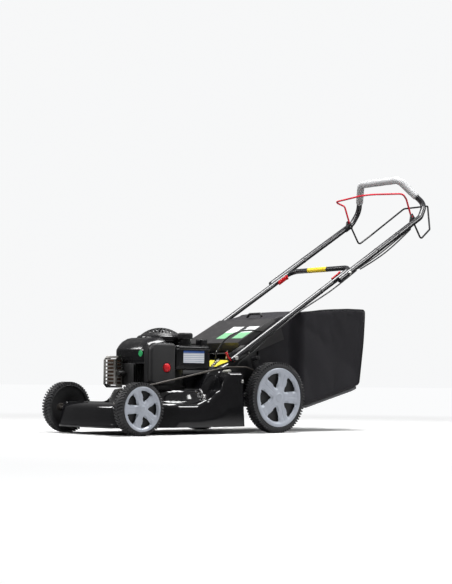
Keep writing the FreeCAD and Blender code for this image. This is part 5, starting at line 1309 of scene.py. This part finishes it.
STATIONS, AROUND = 110, 176
bag_rows = []
bag_uv = []
for station in range(STATIONS + 1):
    share = station / STATIONS
    top_y, top_z = on_line(BAG_TOP, share)
    low_y, low_z = on_line(BAG_LOW, share)
    middle_y = (top_y + low_y) / 2
    row, marks = [], []
    for k in range(AROUND):
        turn = k / AROUND * 4
        side, across = int(turn), turn % 1
        square = ((1, 1 - 2 * across), (1 - 2 * across, -1), (-1, -1 + 2 * across),
                  (-1 + 2 * across, 1))[side]
        u, v = square
        wide = bag_half_width(middle_y + (top_y - low_y) / 2 * v)
        height = math.hypot(top_y - low_y, top_z - low_z) / 2
        corner = 15.0
        a, b = abs(u) * wide, abs(v) * height
        if a > wide - corner and b > height - corner:
            off = Vector((a - wide + corner, b - height + corner))
            if off.length > 1e-6:
                off = off.normalized() * min(off.length, corner)
            a, b = wide - corner + off.x, height - corner + off.y
        px = math.copysign(a, u)
        lift = math.copysign(b, v) / (2 * height) + 0.5
        y = low_y + (top_y - low_y) * lift
        z = low_z + (top_z - low_z) * lift
        hold = smooth_step(0, 0.14, share) * smooth_step(1.0, 0.93, share)
        if side in (0, 2):
            sag = 5.5 * math.cos(v * math.pi / 2) ** 1.0 * hold
            lean = y + 0.35 * z
            folds = noise.noise(Vector((lean * 0.006, z * 0.004, 3.0 * u))) * 7.0
            folds += noise.noise(Vector((lean * 0.02, z * 0.009, 9.0 * u))) * 3.0 * smooth_step(0.35, 1.0,
                                                                                                lift)
            folds *= hold * smooth_step(0, 0.1, 1 - abs(v))
            px -= math.copysign(sag, u) - math.copysign(folds, u)
            px = math.copysign(min(abs(px), wide), px)
        elif side == 3:
            droop = 7.0 * math.cos(u * math.pi / 2) * hold
            droop += noise.noise(Vector((px * 0.012, y * 0.01, 5))) * 3.0 * hold * smooth_step(0, 0.15,
                                                                                               1 - abs(u))
            z -= max(-0.5, droop)
        row.append(spot(px, y, z))
        marks.append((k / AROUND * 1.4, share * 0.62))
    bag_rows.append(row)
    bag_uv.append(marks)
for shell_step in range(1, 9):
    share = shell_step / 8
    last = bag_rows[STATIONS]
    middle = sum(last, Vector()) / AROUND
    bulge = 0.009 * math.sin(min(1.0, share * 1.6) * math.pi / 2)
    bag_rows.append([p.lerp(middle, share) + Vector((0, bulge, -bulge * 0.25)) for p in last])
    bag_uv.append([(k / AROUND * 1.4 * (1 - share * 0.7), 0.62 + share * 0.2) for k in range(AROUND)])
bag_mesh = from_grid("bag_cloth", bag_rows, close_across=True)
uv_layer = bag_mesh.uv_layers.new(name="cloth")
flat_uv = [mark for marks in bag_uv for mark in marks]
for loop in bag_mesh.loops:
    uv_layer.data[loop.index].uv = flat_uv[loop.vertex_index]
for polygon in bag_mesh.polygons:
    us = [uv_layer.data[i].uv[0] for i in polygon.loop_indices]
    if max(us) - min(us) > 0.5:
        for i in polygon.loop_indices:
            if uv_layer.data[i].uv[0] < 0.5:
                uv_layer.data[i].uv[0] += 1.4
welded(bag_mesh, 1e-6, outward=False)
cloth_work = bpy.data.objects.new("cloth_work", bag_mesh)
scene.collection.objects.link(cloth_work)
skin = cloth_work.modifiers.new("thickness", "SOLIDIFY")
skin.thickness = 0.0012
skin.offset = -1 if bag_mesh.polygons[STATIONS * AROUND // 2].normal.dot(Vector((1, 0, 0))) else 1
applied(cloth_work)

weave_tree, weave_in, weave_out = group_sockets("woven_threads", {"Thread Scale": 420.0}, ["Height", "Shade"])
coords = fitted(weave_tree.nodes, "ShaderNodeUVMap", uv_map="cloth")
heights = []
for direction in ("X", "Y"):
    threads = fitted(weave_tree.nodes, "ShaderNodeTexWave", {"Distortion": 0.4, "Detail": 1.0},
                     bands_direction=direction)
    plugged(weave_tree.links, (coords, "UV", threads, "Vector"),
            (weave_in, "Thread Scale", threads, "Scale"))
    heights.append(threads.outputs["Fac"])
cross = fitted(weave_tree.nodes, "ShaderNodeMath", operation="MAXIMUM")
weave_tree.links.new(heights[0], cross.inputs[0])
weave_tree.links.new(heights[1], cross.inputs[1])
cloud = fitted(weave_tree.nodes, "ShaderNodeTexNoise", {"Scale": 14.0, "Detail": 6.0})
plugged(weave_tree.links, (coords, "UV", cloud, "Vector"), (cross, "Value", weave_out, "Height"),
        (cloud, "Fac", weave_out, "Shade"))

cloth_black = bpy.data.materials.new("black_polyester")
cloth_black.use_nodes = True
tree = cloth_black.node_tree
shader = tree.nodes["Principled BSDF"]
shader.inputs["Specular IOR Level"].default_value = 0.25
shader.inputs["Sheen Weight"].default_value = 0.1
shader.inputs["Sheen Roughness"].default_value = 0.4
threads = fitted(tree.nodes, "ShaderNodeGroup", node_tree=weave_tree)
colour = fitted(tree.nodes, "ShaderNodeMix",
                {"A": (0.006, 0.0055, 0.008, 1), "B": (0.013, 0.012, 0.016, 1)}, data_type="RGBA")
plugged(tree.links, (threads, "Shade", colour, "Factor"), (colour, "Result", shader, "Base Color"))
gloss = fitted(tree.nodes, "ShaderNodeMapRange", {"To Min": 0.55, "To Max": 0.75})
plugged(tree.links, (threads, "Shade", gloss, "Value"), (gloss, "Result", shader, "Roughness"))
relief = fitted(tree.nodes, "ShaderNodeBump", {"Strength": 0.35, "Distance": 0.0006})
plugged(tree.links, (threads, "Height", relief, "Height"), (relief, "Normal", shader, "Normal"))
bag = placed("bag_cloth", cloth_work.data, cloth_black, "bag", smooth=60)
bpy.data.objects.remove(cloth_work)
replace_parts(bag, "bag_fabric")

piping = finish("bag_piping", (0.012, 0.012, 0.014), 0.5, grain=900, depth=0.2, specular=0.3)
pipes = []
CORNERS = [0, AROUND // 4, AROUND // 2, 3 * AROUND // 4]
for k in CORNERS:
    line = [bag_rows[s][k] for s in range(4, STATIONS - 1)]
    pipes.append(sleeve("piping", line, lambda share, angle: 0.0019, 8))
rim_line = [bag_rows[STATIONS - 1][k % AROUND] for k in range(AROUND + 1)]
pipes.append(sleeve("piping", rim_line, lambda share, angle: 0.0021, 8))
placed("bag_piping", joined("bag_piping", pipes), piping, "bag", smooth=60)
tray_grey = finish("tray_moulding", (0.10, 0.10, 0.105), 0.45, grain=700, depth=0.1, dust=0.15)
softened("bag_tray", tray_grey, "bag", 0.0012)
softened("bag_frame", satin_plastic, "bag", 0.0004, segments=1, smooth=50)


# ---- Small fittings round the handle's left foot
# A red shut-off lever, two governor springs, a striped cable spring, a grommet and plain
# yellow warning paper on the tunnel, with the pinch bolt on the side plate.
def coil(name, start, end, radius, wire_radius, turns):
    """A close-wound spring between two places, its wire drawn round a helix."""
    way = (end - start).normalized()
    side = way.orthogonal().normalized()
    up = way.cross(side)
    steps = turns * 10
    line = [start.lerp(end, k / steps) + (side * math.cos(2 * math.pi * k / 10)
                                          + up * math.sin(2 * math.pi * k / 10)) * radius
            for k in range(steps + 1)]
    return sleeve(name, line, lambda share, angle: wire_radius, 8)


red_line = through([spot(188, 514, 288), spot(188, 494, 291), spot(189, 478, 306), spot(189, 470, 321)],
                   [0.008, 0.01], 8)
placed("shut_off_lever", sleeve("shut_off_lever", divided(red_line, 0.004),
                                lambda share, angle: 0.0034 + 0.0016 * smooth_step(0.7, 1, share), 16),
       lever_red, "root", smooth=50)
springs = [coil("spring", spot(150, 447, 295), spot(150, 452, 327), 0.0022, 0.0007, 16),
           coil("spring", spot(150, 503, 298), spot(150, 510, 328), 0.0022, 0.0007, 16)]
placed("governor_springs", joined("governor_springs", springs), zinc, "root", smooth=60)
placed("cable_spring", coil("cable_spring", spot(160, 420, 266), spot(160, 457, 292), 0.0046, 0.0013, 11),
       zinc, "root",
       smooth=60)
warning_yellow = finish("yellow_warning_paper", (0.80, 0.66, 0.06), 0.35, grain=240, depth=0.05, spread=0.1,
                        tint=0.18)
paper_rows = []
for height in (0.3, 0.9):
    row = []
    for x, y in ((18, 452), (150, 452), (150, 532), (18, 532)):
        row.append(spot(x, y, deck_top(0, y) + 0.5 + height))
    paper_rows.append(row)
paper_rows = [[sum(paper_rows[0], Vector()) / 4] * 4] + paper_rows + [[sum(paper_rows[1], Vector()) / 4] * 4]
placed("warning_paper", welded(from_grid("warning_paper", paper_rows, close_across=True), 1e-6),
       warning_yellow, "root",
       smooth=0)
grommet = moulding("cable_grommet", [(449, 232, 8), (487, 240, 8), (487, 254, 7), (451, 250, 7)], 190, 204,
                   shoulder=5,
                   crown=1.5, axis="x")
placed("cable_grommet", grommet, finish("pale_grommet", (0.42, 0.42, 0.38), 0.45, grain=700, depth=0.1),
       "root",
       smooth=50)
placed("plate_bolt", round_bar("plate_bolt", spot(226, 514, 206), spot(240, 514, 206), 0.0062, ease=0.0015),
       zinc, "root")
